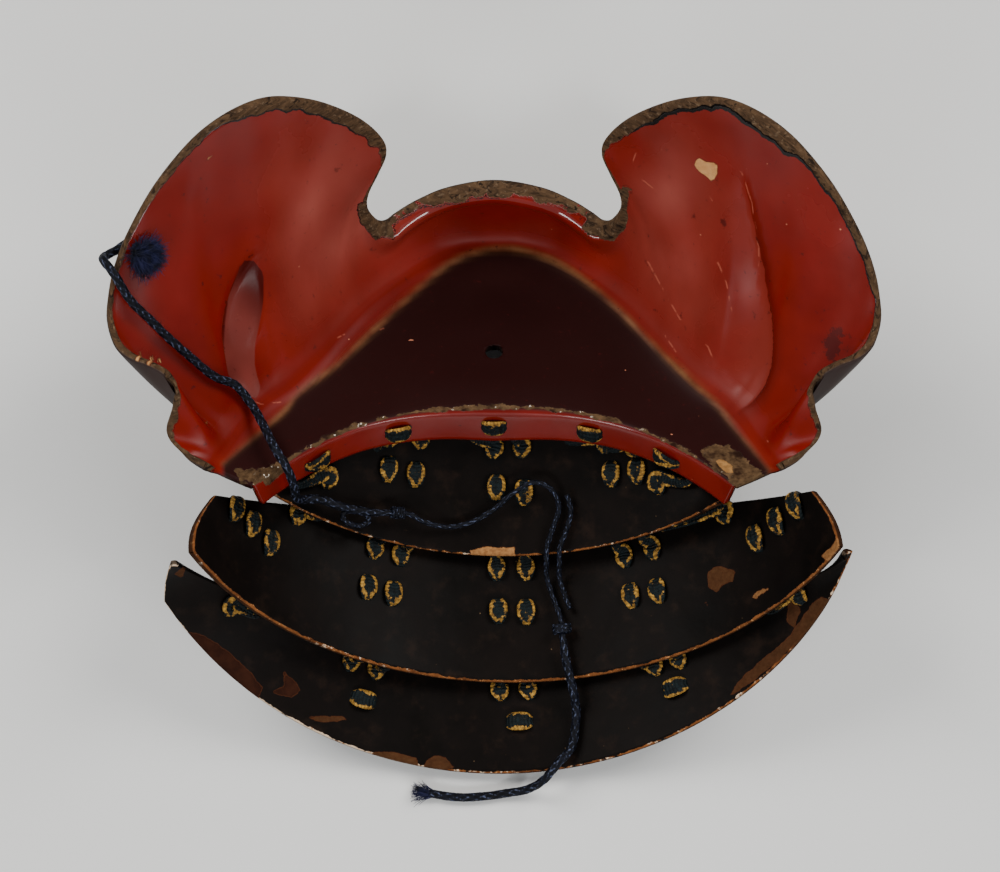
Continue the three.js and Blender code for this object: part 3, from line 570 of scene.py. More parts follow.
def mask_material():
    m = Mat("mask_lacquer")
    fine = m.noise(900, 4, 0.6)
    mid = m.noise(260, 4, 0.6)
    wide = m.noise(45, 4, 0.55)
    # Red lacquer, faded and with a painted pinkish sheen on the cheeks, dark maroon with painted shade in
    # the chin
    red = m.shades(wide, (98, 12, 4), (118, 18, 8))
    haze = m.times(m.attr("fade_and_sheen"), m.spread(m.noise(70, 3, 0.5), 0.75, 1.1), clamp=True)
    red = m.over(red, (150, 72, 62), haze)
    # Dark maroon lacquer with painted shade over the floor of the chin
    red = m.over(red, (27, 7, 6), m.attr("dark"), 0.96)
    # Tan worn line along the foot of the wall
    tan = m.shades(mid, (104, 72, 44), (140, 98, 62))
    worn = m.times(m.attr("ridge"), m.spread(m.noise(120, 3), 0.55, 1.15), clamp=True)
    red = m.mix(worn, red, tan)
    # Pocket of the left cheek, with painted shade at its top and a painted highlight lower in it, and the
    # painted sheen and painted shade either side of the right cheek's crease
    inside = m.step(m.attr("pocket"), -0.12, 0.15)
    pocket_light_and_shade = m.mix(m.attr("pocket_shade_to_highlight"), srgb((52, 12, 11)), srgb((118, 54, 48)))
    red = m.mix(m.times(inside, 0.85), red, pocket_light_and_shade)
    # Painted shadow line along the left edge of the pocket
    outline = m.step(m.size(m.plus(m.attr("pocket"), 0.1)), 0.55, 0.1)
    red = m.over(red, (70, 12, 9), m.times(outline, m.attr("pocket_edge_shadow")))
    sheen = m.times(m.step(m.attr("crease_s"), -0.05, 0.12), m.step(m.attr("crease_s"), 9, 0.5))
    red = m.over(red, (146, 66, 56), m.times(sheen, m.times(m.attr("crease_w"), 0.4)))
    shade = m.times(m.step(m.attr("crease_s"), 0.05, -0.12), m.step(m.attr("crease_s"), -4.5, -0.2))
    red = m.over(red, (58, 8, 6), m.times(shade, m.times(m.attr("crease_w"), 0.6)))
    # Fine pale scratches and specks
    scratch = m.step(m.size(m.attr("cut")), 0.26, 0.10)
    scratch = m.times(scratch, m.step(m.attr("cut_w"), 0.2, 0.5))
    scratch = m.times(scratch, m.step(m.noise(330, 4), 0.44, 0.56))
    red = m.over(red, (184, 100, 78), scratch, 0.42)
    speck = m.step(m.noise(520, 1, 0.3), 0.82, 0.85)
    red = m.over(red, (190, 120, 90), speck)
    # Darker stains, and a painted shadow along the left edge of the cheek pocket
    soil_and_shadow = m.plus(m.attr("stain_and_shadow"), m.jagged(420, 5, 0.7, 3.2))
    soil_and_shadow = m.step(soil_and_shadow, 0.36, 0.7)
    red = m.over(red, (60, 14, 12), soil_and_shadow, 0.75)
    # Raw hide where the lacquer has gone
    jag = m.jagged(330, 5, 0.65, 2.4)
    raw_edge = m.plus(m.attr("raw"), jag)
    raw = m.step(raw_edge, -0.06, 0.06)
    fibre = m.noise(150, 6, 0.7, 1.5, at=m.stretched(1, 1, 5))
    hide = m.shades(fibre, (38, 27, 20), (94, 71, 50))
    hide = m.over(hide, (138, 116, 92), m.step(fine, 0.56, 0.7), 0.35)
    coarse = m.noise(210, 5, 0.7, 2.0, at=m.stretched(1, 1, 3))
    hide = m.over(hide, (34, 25, 19), m.step(coarse, 0.54, 0.62))
    chip_edge = m.plus(m.attr("chip"), m.times(jag, 0.22))
    chip = m.step(chip_edge, -0.05, 0.05)
    crust_edge = m.plus(m.attr("crust"), m.times(jag, 1.9))
    crust = m.step(crust_edge, -0.1, 0.1)
    rusty = m.shades(m.noise(420, 5, 0.7), (40, 26, 17), (104, 80, 55))
    rusty = m.over(rusty, (38, 22, 15), m.step(m.noise(170, 3), 0.50, 0.62))
    glint = m.times(m.step(m.noise(640, 3, 0.6), 0.62, 0.68), m.attr("glint"))
    rusty = m.over(rusty, (226, 214, 196), glint)
    outside = m.step(m.attr("side"), 0.7, 0.95)
    black = m.shades(wide, (26, 18, 16), (40, 24, 20))
    color = m.mix(raw, red, hide)
    color = m.mix(crust, color, rusty)
    color = m.mix(chip, color, m.shades(mid, (176, 124, 76), (206, 158, 106)))
    # Painted shadow in the gap where the lacquer lifts from the rim
    gap = m.minus(m.times(m.attr("lift"), 0.42), m.size(m.plus(raw_edge, 0.2)))
    gap = m.step(gap, -0.02, 0.06)
    color = m.over(color, (10, 7, 6), gap)
    soot = m.step(m.size(chip_edge), 0.18, 0.05)
    color = m.over(color, (80, 24, 14), soot, 0.55)
    color = m.mix(outside, color, black)
    tan_spot = m.shades(m.noise(520, 3), (112, 78, 42), (168, 124, 74))
    color = m.mix(m.step(m.plus(m.attr("tan_spot"), m.times(jag, 0.6)), -0.1, 0.1), color, tan_spot)
    bare = m.most(m.most(raw, crust), chip)
    bare = m.times(bare, m.minus(1.0, outside))
    gloss = m.blend(m.attr("dark"), m.blend(haze, 0.25, 0.44), 0.52)
    gloss = m.blend(m.attr("crease"), gloss, 0.62)
    gloss = m.blend(m.attr("lip"), gloss, 0.06)
    gloss = m.plus(gloss, m.times(m.minus(wide, 0.5), 0.16))
    gloss = m.blend(outside, gloss, 0.46)
    rough = m.blend(bare, gloss, 0.88)
    # Bare hide, the dark chin and the worn foot of the wall hardly mirror the lights
    dull = m.most(m.times(m.attr("dark"), 0.85), m.most(bare, m.attr("crease")))
    dull = m.most(dull, m.most(m.attr("matt"), m.times(outside, 0.75)))
    m.link(m.shader.inputs["Specular IOR Level"], m.blend(dull, 0.5, 0.06))
    relief = m.minus(m.times(fibre, m.times(bare, 0.6)), bare)
    n = m.bump(relief, 0.9, 0.00028)
    n = m.bump(m.noise(38, 3, 0.5), 0.25, 0.0012, after=n)
    n = m.bump(m.times(fine, m.blend(bare, 0.05, 1.0)), 0.5, 0.00012, after=n)
    return m.out(color, rough, n, IOR=1.5, Coat_Weight=0.0)


def lame_material(name):
    m = Mat(name)
    fine = m.noise(1100, 4, 0.6)
    mid = m.noise(300, 4, 0.6)
    wide = m.noise(60, 4, 0.6)
    coat = m.shades(wide, (9, 7, 6), (18, 13, 11))
    haze = m.step(m.noise(150, 5, 0.65), 0.5, 0.75)
    coat = m.over(coat, (48, 34, 26), haze, 0.3)
    dust = m.step(m.noise(640, 2, 0.4), 0.78, 0.82)
    coat = m.over(coat, (112, 88, 62), dust)
    jag = m.jagged(380, 5, 0.65, 1.8)
    edge = m.plus(m.attr("raw"), jag)
    raw = m.step(edge, -0.05, 0.05)
    rust = m.shades(mid, (70, 38, 20), (132, 80, 42))
    rust = m.over(rust, (168, 118, 74), m.step(fine, 0.58, 0.68))
    glint = m.plus(m.noise(420, 4, 0.65), m.times(m.attr("glint"), 0.3))
    rust = m.over(rust, (206, 180, 152), m.step(glint, 0.66, 0.74))
    rust = m.over(rust, (20, 12, 8), m.step(m.attr("side"), 0.12, 0.4), 0.85)
    chip_edge = m.plus(m.attr("chip"), m.times(jag, 0.8))
    chip = m.times(m.step(chip_edge, -0.05, 0.05), m.step(m.attr("side"), 0.4, 0.2))
    brown = m.shades(mid, (32, 15, 10), (52, 27, 17))
    pale = m.shades(fine, (116, 76, 42), (160, 114, 70))
    brown = m.mix(m.attr("pale"), brown, pale)
    halo = m.times(m.attr("halo"), 0.8)
    coat = m.over(coat, (9, 9, 9), halo)
    color = m.mix(chip, m.mix(raw, coat, rust), brown)
    rim = m.step(m.size(chip_edge), 0.14, 0.03)
    rim = m.times(rim, m.step(m.attr("side"), 0.4, 0.2))
    color = m.over(color, (96, 50, 26), rim, 0.4)
    bare = m.most(raw, chip)
    rough = m.blend(bare, m.plus(0.38, m.times(wide, 0.24)), 0.88)
    n = m.bump(m.minus(m.times(mid, 0.3), bare), 0.8, 0.0002)
    n = m.bump(m.noise(55, 3, 0.5), 0.3, 0.001, after=n)
    n = m.bump(fine, 0.15, 0.0001, after=n)
    return m.out(color, rough, n, Specular_IOR_Level=0.05)


def lace_material(name):
    """Old silk: blue green where the dye has held, ochre where it has worn or faded."""
    m = Mat(name)
    s = m.attr("across")
    t = m.attr("along")
    weave = m.math("SINE", m.plus(m.times(t, 7.5), m.times(m.size(s), 3.0)))
    plait = m.math("SINE", m.times(s, 11.0))
    blue = m.shades(m.noise(700, 3), (3, 5, 6), (16, 28, 31))
    gold = m.shades(m.noise(900, 4), (92, 60, 18), (192, 146, 64))
    blot = m.jagged(520, 4, 0.7, 2.6)
    worn = m.step(m.plus(m.attr("worn"), blot), 0.42, 0.6)
    color = m.mix(worn, blue, gold)
    color = m.over(color, (9, 9, 8), m.step(weave, 0.2, -0.9), 0.35)
    n = m.bump(weave, 0.6, 0.00016)
    n = m.bump(plait, 0.5, 0.00012, after=n)
    return m.out(color, 0.7, n, Specular_IOR_Level=0.15)


def cord_material():
    m = Mat("cord_braid")
    tone = m.attr("tone")
    navy = m.shades(m.noise(300, 3), (4, 5, 10), (11, 14, 26))
    # Painted highlights on the crests of the strands, and painted shade in the troughs between them
    crest_highlight = m.times(m.step(tone, 0.72, 0.92), m.step(m.noise(1500, 2, 0.5), 0.46, 0.58))
    color = m.over(navy, (84, 92, 118), crest_highlight, 0.7)
    color = m.over(color, (2, 2, 4), m.step(tone, 0.60, 0.25))
    n = m.bump(m.noise(3500, 2), 0.4, 0.00008)
    return m.out(color, 0.62, n, Specular_IOR_Level=0.12)


def thread_material():
    m = Mat("loose_threads")
    color = m.shades(m.noise(420, 3), (5, 6, 15), (42, 46, 88))
    color = m.over(color, (3, 3, 7), m.attr("shade"))
    return m.out(color, 0.6, Specular_IOR_Level=0.2)


# The mask
SWEAT_AT = lie(np.array([0, SWEAT_SHARE * CHIN_REACH, -FLOOR_DISH])) + SET_DOWN
d = np.linalg.norm((mask_inner - SWEAT_AT)[..., :2], axis=-1)
hole = d < SWEAT_HOLE / 2 * 0.99
hole[:, :FLANGE_ROWS] = False
# The outermost points of the hole move on to its edge, so that it comes out round
pull = (mask_inner - SWEAT_AT)[..., :2] / np.maximum(d, 1e-6)[..., None]
beside = np.any([np.roll(~hole, (i, j), (0, 1)) for i in (-1, 0, 1) for j in (-1, 0, 1)], axis=0)
edge = hole & beside
for G in (mask_inner, mask_outer):
    G[edge, :2] = SWEAT_AT[:2] + pull[edge] * SWEAT_HOLE / 2

gx, gy = plan[..., 0], plan[..., 1]
wallish = hold((from_foot + 1.0) / 2.0)


def blobs(*rows):
    """Sum of soft ellipses in the picture, each given as strength, centre x y, radii x y and power."""
    total = 0
    for strength, cx, cy, rx, ry, *power in rows:
        reach = ((gx - cx) / rx) ** 2 + ((gy - cy) / ry) ** 2
        total = total + strength * np.exp(-reach ** (power[0] if power else 1))
    return total


def line_mask(line, width):
    d, _, share = segment_distance(plan, line)
    return hold(1 - d / (width * np.clip(np.minimum(share, 1 - share) / 0.15, 0.2, 1)))


# Where the lacquer has faded, and where a pinkish sheen is painted on the cheeks
fade_and_sheen = blobs((0.95, 338, 200, 58, 70), (0.8, 672, 215, 44, 74), (0.2, 700, 330, 40, 70),
              (0.25, 300, 300, 40, 50), (0.2, 742, 366, 20, 44))
fade_and_sheen = np.clip(fade_and_sheen * (0.85 + 0.5 * wobble(mask, 14, 4.4)), 0, 0.9) * wallish

# The dull pocket of the left cheek with its painted shade, highlight and edge shadow, and the crease of the
# right one with painted sheen and shade
POCKET_FILL = [
    (241, 260), (233, 292), (229, 325), (229, 352), (234, 374), (246, 392), (258, 398), (262, 388),
    (257, 366), (257, 346), (261, 322), (266, 298), (266, 274), (256, 262),
]
pocket = inside_distance(plan, POCKET_FILL) * PX
pocket[:, :FOOT_ROW] = -20
pocket_shade_to_highlight = hold((gy - 276 + (250 - gx) * 1.3) / 44) * (0.8 + 0.3 * wobble(mask, 6, 2.2))
pocket_edge_shadow = hold((248 - gx) / 14) * hold((gy - 262) / 20) * 0.8
d, way, share = segment_distance(plan, POCKET_RIGHT)
crease_s = -d * way * PX
crease_w = hold(np.minimum(share, 1 - share) / 0.18) * (0.55 + 0.45 * (1 - share)) * (gx > 600) * wallish

# The dark chin, dark maroon lacquer with painted shade, and the tan line worn along its upper edge
FOOT_LINE = [
    (223, 463), (253, 438), (284, 412), (300, 392), (340, 362), (380, 324), (420, 287), (455, 260),
    (492, 249), (530, 252), (570, 270), (610, 302), (650, 342), (690, 380), (716, 404), (735, 428),
    (752, 448), (770, 470),
]
BELOW_FOOT = [(770, 560), (223, 560)]
foot_curve = catmull(FOOT_LINE, 4)
under = inside_distance(plan, np.concatenate([foot_curve, BELOW_FOOT]))
on_floor = (run >= run[:, FOLD_ROW:FOLD_ROW + 1]) * (from_foot < 14)
dark = hold(0.5 + under / 5) * on_floor
d, _, share = segment_distance(plan, foot_curve)
WORN_MOST = [(0.85, 0.5, 0.24), (0.55, 0.17, 0.12), (0.5, 0.8, 0.12)]
ridge = 0.3 + sum(a * np.exp(-((share - at) / wide) ** 2) for a, at, wide in WORN_MOST)
ridge = hold(0.8 * np.exp(-(d / 3.2) ** 2) * ridge * (0.75 + 0.5 * wobble(mask, 7, 9.1)) * on_floor)

# Chips, crusts of bare hide at the corners and along the fold, and scratches
CHIPS = [
    [(694, 161), (699, 158), (706, 162), (717, 163), (718, 172), (712, 183), (705, 176), (699, 172),
     (694, 167)],
    [(207, 160), (211, 152), (214, 154), (210, 161)], [(202, 165), (205, 162), (206, 166)],
    [(138, 358), (140, 350), (142, 359)], [(148, 361), (152, 353), (154, 362)],
    [(156, 362), (159, 355), (162, 363)], [(205, 422), (208, 420), (208, 424)],
    [(378, 403), (380, 402), (381, 405)], [(302, 119), (304, 117), (306, 120)],
]
CRUST = [
    [(700, 452), (712, 445), (728, 444), (740, 452), (752, 464), (770, 474), (762, 482), (744, 490),
     (730, 480), (714, 468)],
    [(236, 470), (262, 466), (280, 462), (284, 474), (270, 484), (256, 482), (240, 478)],
]
TAN_SPOT = [(716, 460), (724, 459), (732, 466), (733, 472), (726, 472), (719, 466)]
fold_plan = np.stack([gx, gy, 0 * gx], axis=-1)
fold_near = 0.35 + 0.5 * wobble(fold_plan, 38, 5.0) + 0.8 * wobble(fold_plan, 13, 1.0)
fold_near += blobs((0.9, 462, 408, 34, 9), (0.8, 600, 418, 14, 9), (0.7, 340, 432, 20, 9))
fold_line = fold_near - np.where(run < run[:, FOLD_ROW:FOLD_ROW + 1], from_fold * 1.9, from_fold)
SCRATCHES = [
    ([(742, 172), (752, 205), (756, 240), (755, 275)], 1.2), ([(716, 262), (725, 284), (730, 312)], 1.3),
    ([(648, 262), (662, 288), (680, 320)], 1.1), ([(632, 164), (636, 152)], 1.5),
    ([(642, 180), (652, 188)], 1.2), ([(704, 190), (711, 200)], 1.8), ([(664, 334), (676, 352)], 1.4),
    ([(706, 345), (712, 360)], 1.2), ([(333, 340), (345, 334)], 1.3), ([(380, 330), (384, 328)], 1.2),
    ([(548, 205), (556, 210)], 1.0), ([(761, 432), (768, 442)], 1.4),
    ([(246, 395), (262, 404), (284, 402)], 1.4),
]
cut = np.full(gx.shape, 99.0)
cut_w = np.zeros(gx.shape)
for line, width in SCRATCHES:
    d, way, share = segment_distance(plan, line)
    inside_line = (share > 0.001) & (share < 0.999)
    nearer = d * PX < np.abs(cut)
    cut = np.where(nearer, d * PX * np.where(way < 0, -1, 1), cut)
    cut_w = np.where(nearer, hold(1 - d / 9) * inside_line * (0.5 + 0.35 * width), cut_w)

stain_and_shadow = blobs((1.1, 834, 341, 9, 13), (0.8, 722, 224, 4, 5), (0.5, 811, 226, 2.5, 4),
              (0.5, 830, 352, 6, 9), (0.4, 841, 332, 5, 6))
# Painted shadow along the crisp left edge of the cheek pocket
stain_and_shadow += 0.5 * line_mask([(232, 262), (228, 300), (226, 340), (232, 380)], 4)
stain_and_shadow += 0.4 * line_mask([(640, 250), (650, 270), (668, 300)], 2.4)
matt = blobs((0.97, 248, 330, 34, 100, 2), (0.8, 742, 320, 44, 90), (0.95, 192, 430, 60, 46),
             (0.95, 790, 432, 60, 46))

# How far the lacquer lifts from the rim, by column of the wall: left and right
LIFT = [([4, 6, 9, 12, 16, 20], [0.2, 0.5, 0.2, 0.7, 0.5, 0.15]),
        ([10, 11, 12, 14, 17, 18, 20, 23], [0.1, 0.4, 1.4, 1.7, 1.5, 1.0, 0.7, 0.2])]
lift = np.where(column_side > 0, *(np.interp(column_index, *side) for side in reversed(LIFT)))
glint = hold(1 - np.abs(fold_line) / 2.5) * np.clip((640 - gx) / 60, 0.25, 1)
data = {
    "fade_and_sheen": fade_and_sheen, "dark": dark, "ridge": ridge, "stain_and_shadow": hold(stain_and_shadow), "cut": cut, "cut_w": cut_w,
    "crease_s": crease_s, "crease_w": crease_w, "pocket": pocket, "pocket_shade_to_highlight": hold(pocket_shade_to_highlight),
    "pocket_edge_shadow": pocket_edge_shadow, "glint": glint,
    "tan_spot": inside_distance(plan, TAN_SPOT) * PX, "crease": hold(1.2 - np.abs(from_foot - 1.0) / 5),
    "lip": hold(2 - from_rim / 2) * at_chin, "matt": hold(matt), "raw": raw, "chip": patches(CHIPS),
    "crust": np.maximum(patches(CRUST), fold_line), "lift": np.repeat(lift[:, None], mask.shape[1], axis=1),
}
mask_obj = sheet_mesh("mask_lacquered", mask_inner, mask_outer, data, mask_material(), 0.35, hole)
dress(mask_obj, "mask_shell")


# The lames
def turn(p, axis, angle):
    c, s = math.cos(angle), math.sin(angle)
    x, y, z = p[..., 0], p[..., 1], p[..., 2]
    if axis == "Y":
        return np.stack([x * c + z * s, y, -x * s + z * c], axis=-1)
    return np.stack([x * c - y * s, x * s + y * c, z], axis=-1)


def arc_point(arc, u):
    side, back, up, radius, lean, roll, yaw, left, right = arc
    angle = np.where(u < 0, u * left, u * right) * DEG
    rise = radius * (1 - np.cos(angle))
    lean *= DEG
    p = np.stack([radius * np.sin(angle), rise * math.sin(lean), rise * math.cos(lean)], axis=-1)
    return turn(turn(p, "Y", roll * DEG), "Z", yaw * DEG) + np.array([side, back, up])


def lame_point(name, u, v):
    """A point of a lame, with u from end to end (-1 to 1) and v from its lower to its upper edge."""
    upper, lower = LAMES[name]
    u, v = np.broadcast_arrays(np.asarray(u, float), np.asarray(v, float))
    return arc_point(lower, u) * (1 - v[..., None]) + arc_point(upper, u) * v[..., None]


def lame_frame(name, u, v):
    """A point of a lame, the way along it and the way out of it."""
    e = 0.01
    across = unit(lame_point(name, u + e, v) - lame_point(name, u - e, v))
    up = unit(lame_point(name, u, v + e) - lame_point(name, u, v - e))
    out = unit(np.cross(up, across))
    return lame_point(name, u, v), across, out


# Chips of each lame, each with how pale it is
LAME_CHIPS = {
    "lame_1": [
        ([(470, 551), (484, 547), (515, 547), (516, 561), (498, 561), (486, 564), (472, 560)], 1)],
    "lame_2": [
        ([(708, 573), (715, 567), (724, 567), (735, 571), (733, 581), (722, 585), (717, 592),
          (708, 587)], 0.15),
        ([(752, 597), (757, 591), (768, 587), (769, 590), (759, 596), (756, 600)], 0.7),
        ([(704, 604), (706, 601), (708, 605)], 0.8),
        ([(822, 556), (832, 545), (838, 536), (841, 545), (836, 555), (828, 562)], 0.8)],
    "lame_3": [
        ([(186, 632), (199, 634), (212, 641), (230, 653), (250, 672), (262, 688), (258, 700),
          (236, 684), (208, 660)], 0.0),
        ([(284, 686), (284, 672), (296, 682), (300, 690), (292, 698), (272, 692)], 0.0),
        ([(308, 716), (324, 717), (343, 716), (346, 720), (330, 722), (312, 720)], 0.12),
        ([(372, 752), (392, 752), (416, 758), (418, 766), (396, 764), (376, 758)], 0.15),
        ([(812, 604), (822, 596), (830, 600), (820, 618), (800, 640), (776, 662), (752, 682),
          (730, 696), (738, 682), (762, 660), (788, 638)], 0.12),
        ([(788, 604), (796, 600), (800, 612), (794, 628), (787, 622)], 0.1),
        ([(428, 760), (436, 755), (446, 758), (454, 768), (438, 772), (422, 768)], 0.12),
        ([(174, 574), (186, 566), (182, 578)], 0.1)],
}
# How far the raw hide shows, along the lower rim and at the ends
RAW_RIM = {"lame_1": (0.18, 0.15), "lame_2": (0.3, 0.25), "lame_3": (0.15, 0.15)}
# How far each lame's upper corners are rounded off, as shares of its half length: left and right
CORNER_CUT = {"lame_1": (0, 0), "lame_2": (0.07, 0.045), "lame_3": (-0.035, 0.01)}
LAME_COLUMNS, LAME_ROWS = 300, 46
lame_grids = {}
for name in LAMES:
    u = np.linspace(-1, 1, LAME_COLUMNS + 1)[:, None]
    v = np.linspace(0, 1, LAME_ROWS + 1)[None, :]
    cut_left, cut_right = CORNER_CUT[name]
    cut_off = np.where(u < 0, cut_left, cut_right)
    rounding = np.where(cut_off > 0, v ** 2.2, 1 - (1 - v) ** 3 - 0.5 * hold(v * 5 - 4) ** 2)
    u = u * (1 - cut_off * rounding)
    base, _, out = lame_frame(name, u, v)
    base = base + out * (LAME_BELLY * 4 * v * (1 - v))[..., None]
    wave = 0.22 * wobble(base, 30, ord(name[-1])) + 0.08 * wobble(base, 8, 2.0)
    inner = base + out * wave[..., None] + SET_DOWN
    outer = base + out * (LAME_WALL + wave * 0.6)[..., None] + SET_DOWN
    pix = picture(inner)
    run_v = run_along(inner, 1)
    run_u = run_along(inner[:, 0])
    to_side = np.minimum(run_u, run_u[-1] - run_u)[:, None]
    low, ends = RAW_RIM[name]
    px, py = pix[..., 0], pix[..., 1]
    ragged = 0.55 * wobble(np.stack([px, py, 0 * px], axis=-1), 16, 4.0)
    raw_low = np.maximum(low * (1 + ragged) - run_v, ends * (1 + ragged) - to_side)
    chips = [patches([ring], pix) for ring, _ in LAME_CHIPS[name]]
    chip_all = np.max(chips, axis=0)
    pale = np.array([tone for _, tone in LAME_CHIPS[name]], float)[np.argmax(chips, axis=0)]
    glint = np.clip((470 - px) / 60, 0.35, 1) if name == "lame_3" else np.full(px.shape, 0.2)
    data = {"raw": raw_low, "chip": chip_all, "pale": pale, "glint": glint}
    lame_grids[name] = (inner, outer, pix, data)


# Laces
INSIDE = -(LACE_GAP + LACE_THICK / 2)
HALF_LOOP = LOOP_LENGTH / 2
HOLE_AT = HALF_LOOP * 1.12
TURN = LACE_WIDTH * 0.56
OUTSIDE_STEP = LACE_WIDTH * 0.82
BORE = LAME_WALL / 2


def outside_of(wall):
    return wall + LACE_GAP + LACE_THICK / 2


OUTSIDE = outside_of(LAME_WALL)


def on_lame(name, hole, along, aside, off):
    u, v = hole
    length = np.linalg.norm(lame_point(name, u, 1) - lame_point(name, u, 0))
    span = np.linalg.norm(lame_point(name, u + 0.05, v) - lame_point(name, u - 0.05, v)) / 0.1
    vv = v - along / length
    p, across, out = lame_frame(name, u + aside / span, vv)
    inside = min(max(vv, 0), 1)
    return p + out * (off + LAME_BELLY * 4 * inside * (1 - inside)), out, across


def on_flange(share, drop, aside, off):
    s = share + aside / NECK_HALF
    sign = np.sign(s) or 1
    hem_drop = HEM_DROP + (HEM_END - HEM_DROP) * abs(s)
    fold = neck_edge(abs(s))
    hem = np.array([fold[0] * 0.97, fold[1] + abs(s), -hem_drop])
    fold[0] *= sign
    hem[0] *= sign
    ahead = neck_edge(abs(s) + 0.01) - neck_edge(max(abs(s) - 0.01, 0))
    across = unit(np.array([ahead[0], ahead[1] * sign, 0]))
    out = np.cross([0, 0, 1], across)
    t = drop / hem_drop
    return lie(fold * (1 - t) + hem * t + out * off), lie_turn(out), lie_turn(across)


# Stations of a strand: a point, the way out of the sheet, the way across, and 1 where the silk shows
def tips(name, hole):
    return [on_lame(name, hole, LACE_WIDTH * a, 0, off) + (k,) for a, off, k in (
        (-0.8, INSIDE, 1), (0.2, INSIDE, 1), (0.78, BORE, 0), (1.3, OUTSIDE, 0))]


def loops(name, hole):
    return [on_lame(name, hole, a, 0, off) + (k,) for a, off, k in (
        (-HOLE_AT - TURN, OUTSIDE, 0), (-HOLE_AT, BORE, 0), (-HOLE_AT + TURN, INSIDE, 1),
        (HOLE_AT - TURN, INSIDE, 1), (HOLE_AT, BORE, 0), (HOLE_AT + TURN, OUTSIDE, 0))]


def rim(name, u):
    return [on_lame(name, (u, 0.03), 0, 0, OUTSIDE) + (0,)]


def hem(share, aside):
    return [on_flange(share, HEM_DROP + LACE_THICK, aside, MASK_WALL / 2 + LACE_GAP) + (0,)]


def level(place, at, wall, half):
    """Half of a level loop: along the inside, down its hole and out behind."""
    return [place(*at, half * 0.6, INSIDE) + (1,), place(*at, half * 1.15, wall / 2) + (0,),
            place(*at, half + OUTSIDE_STEP * np.sign(half), outside_of(wall)) + (0,)]


strips = {}
for name, (flange, first, second, third) in LACES.items():
    def strand(k):
        way = -1 if k == 0 else 1
        run_down = level(on_flange, (flange, HEM_DROP / 2), MASK_WALL, way * HALF_LOOP)
        run_down += hem(flange, way * (HALF_LOOP + OUTSIDE_STEP))
        for lame, (top, low) in (("lame_1", first), ("lame_2", second)):
            run_down += tips(lame, top[k]) + loops(lame, low[k]) + rim(lame, low[k][0])
        last = level(on_lame, ("lame_3", third[1], 0), LAME_WALL, way * HALF_LOOP)
        return run_down + tips("lame_3", third[0][k]) + last[::-1]

    strips["lace_" + name] = (strand(1) + strand(0)[::-1], True, False)
for name, (side, flange, first, second, low, third, knots) in END_LACES.items():
    halves = [level(on_flange, (flange, HEM_DROP / 2), MASK_WALL, way * side * HALF_LOOP)
              for way in (-1, 1)]
    behind = on_lame("lame_2", ((second[0] + low) / 2, 0.45), 0, 0, OUTSIDE) + (0,)
    strips[f"lace_{name}_end"] = (
        halves[0][::-1] + halves[1] + hem(flange, side * (HALF_LOOP + OUTSIDE_STEP))
        + tips("lame_1", first) + rim("lame_1", first[0]) + tips("lame_2", second) + [behind]
        + rim("lame_2", low) + tips("lame_3", third), False, False)
    reach = HOLE_AT - LACE_WIDTH / 2
    ring = ((-HOLE_AT, BORE, 0), (-reach, INSIDE, 1), (reach, INSIDE, 1), (HOLE_AT, BORE, 0),
            (reach, OUTSIDE, 0), (-reach, OUTSIDE, 0))
    for k, hole_at in enumerate(knots):
        stations = [on_lame("lame_2", hole_at, a, 0, off) + (shows,) for a, off, shows in ring]
        strips[f"lace_knot_{name}_{k + 1}"] = (stations, True, True)

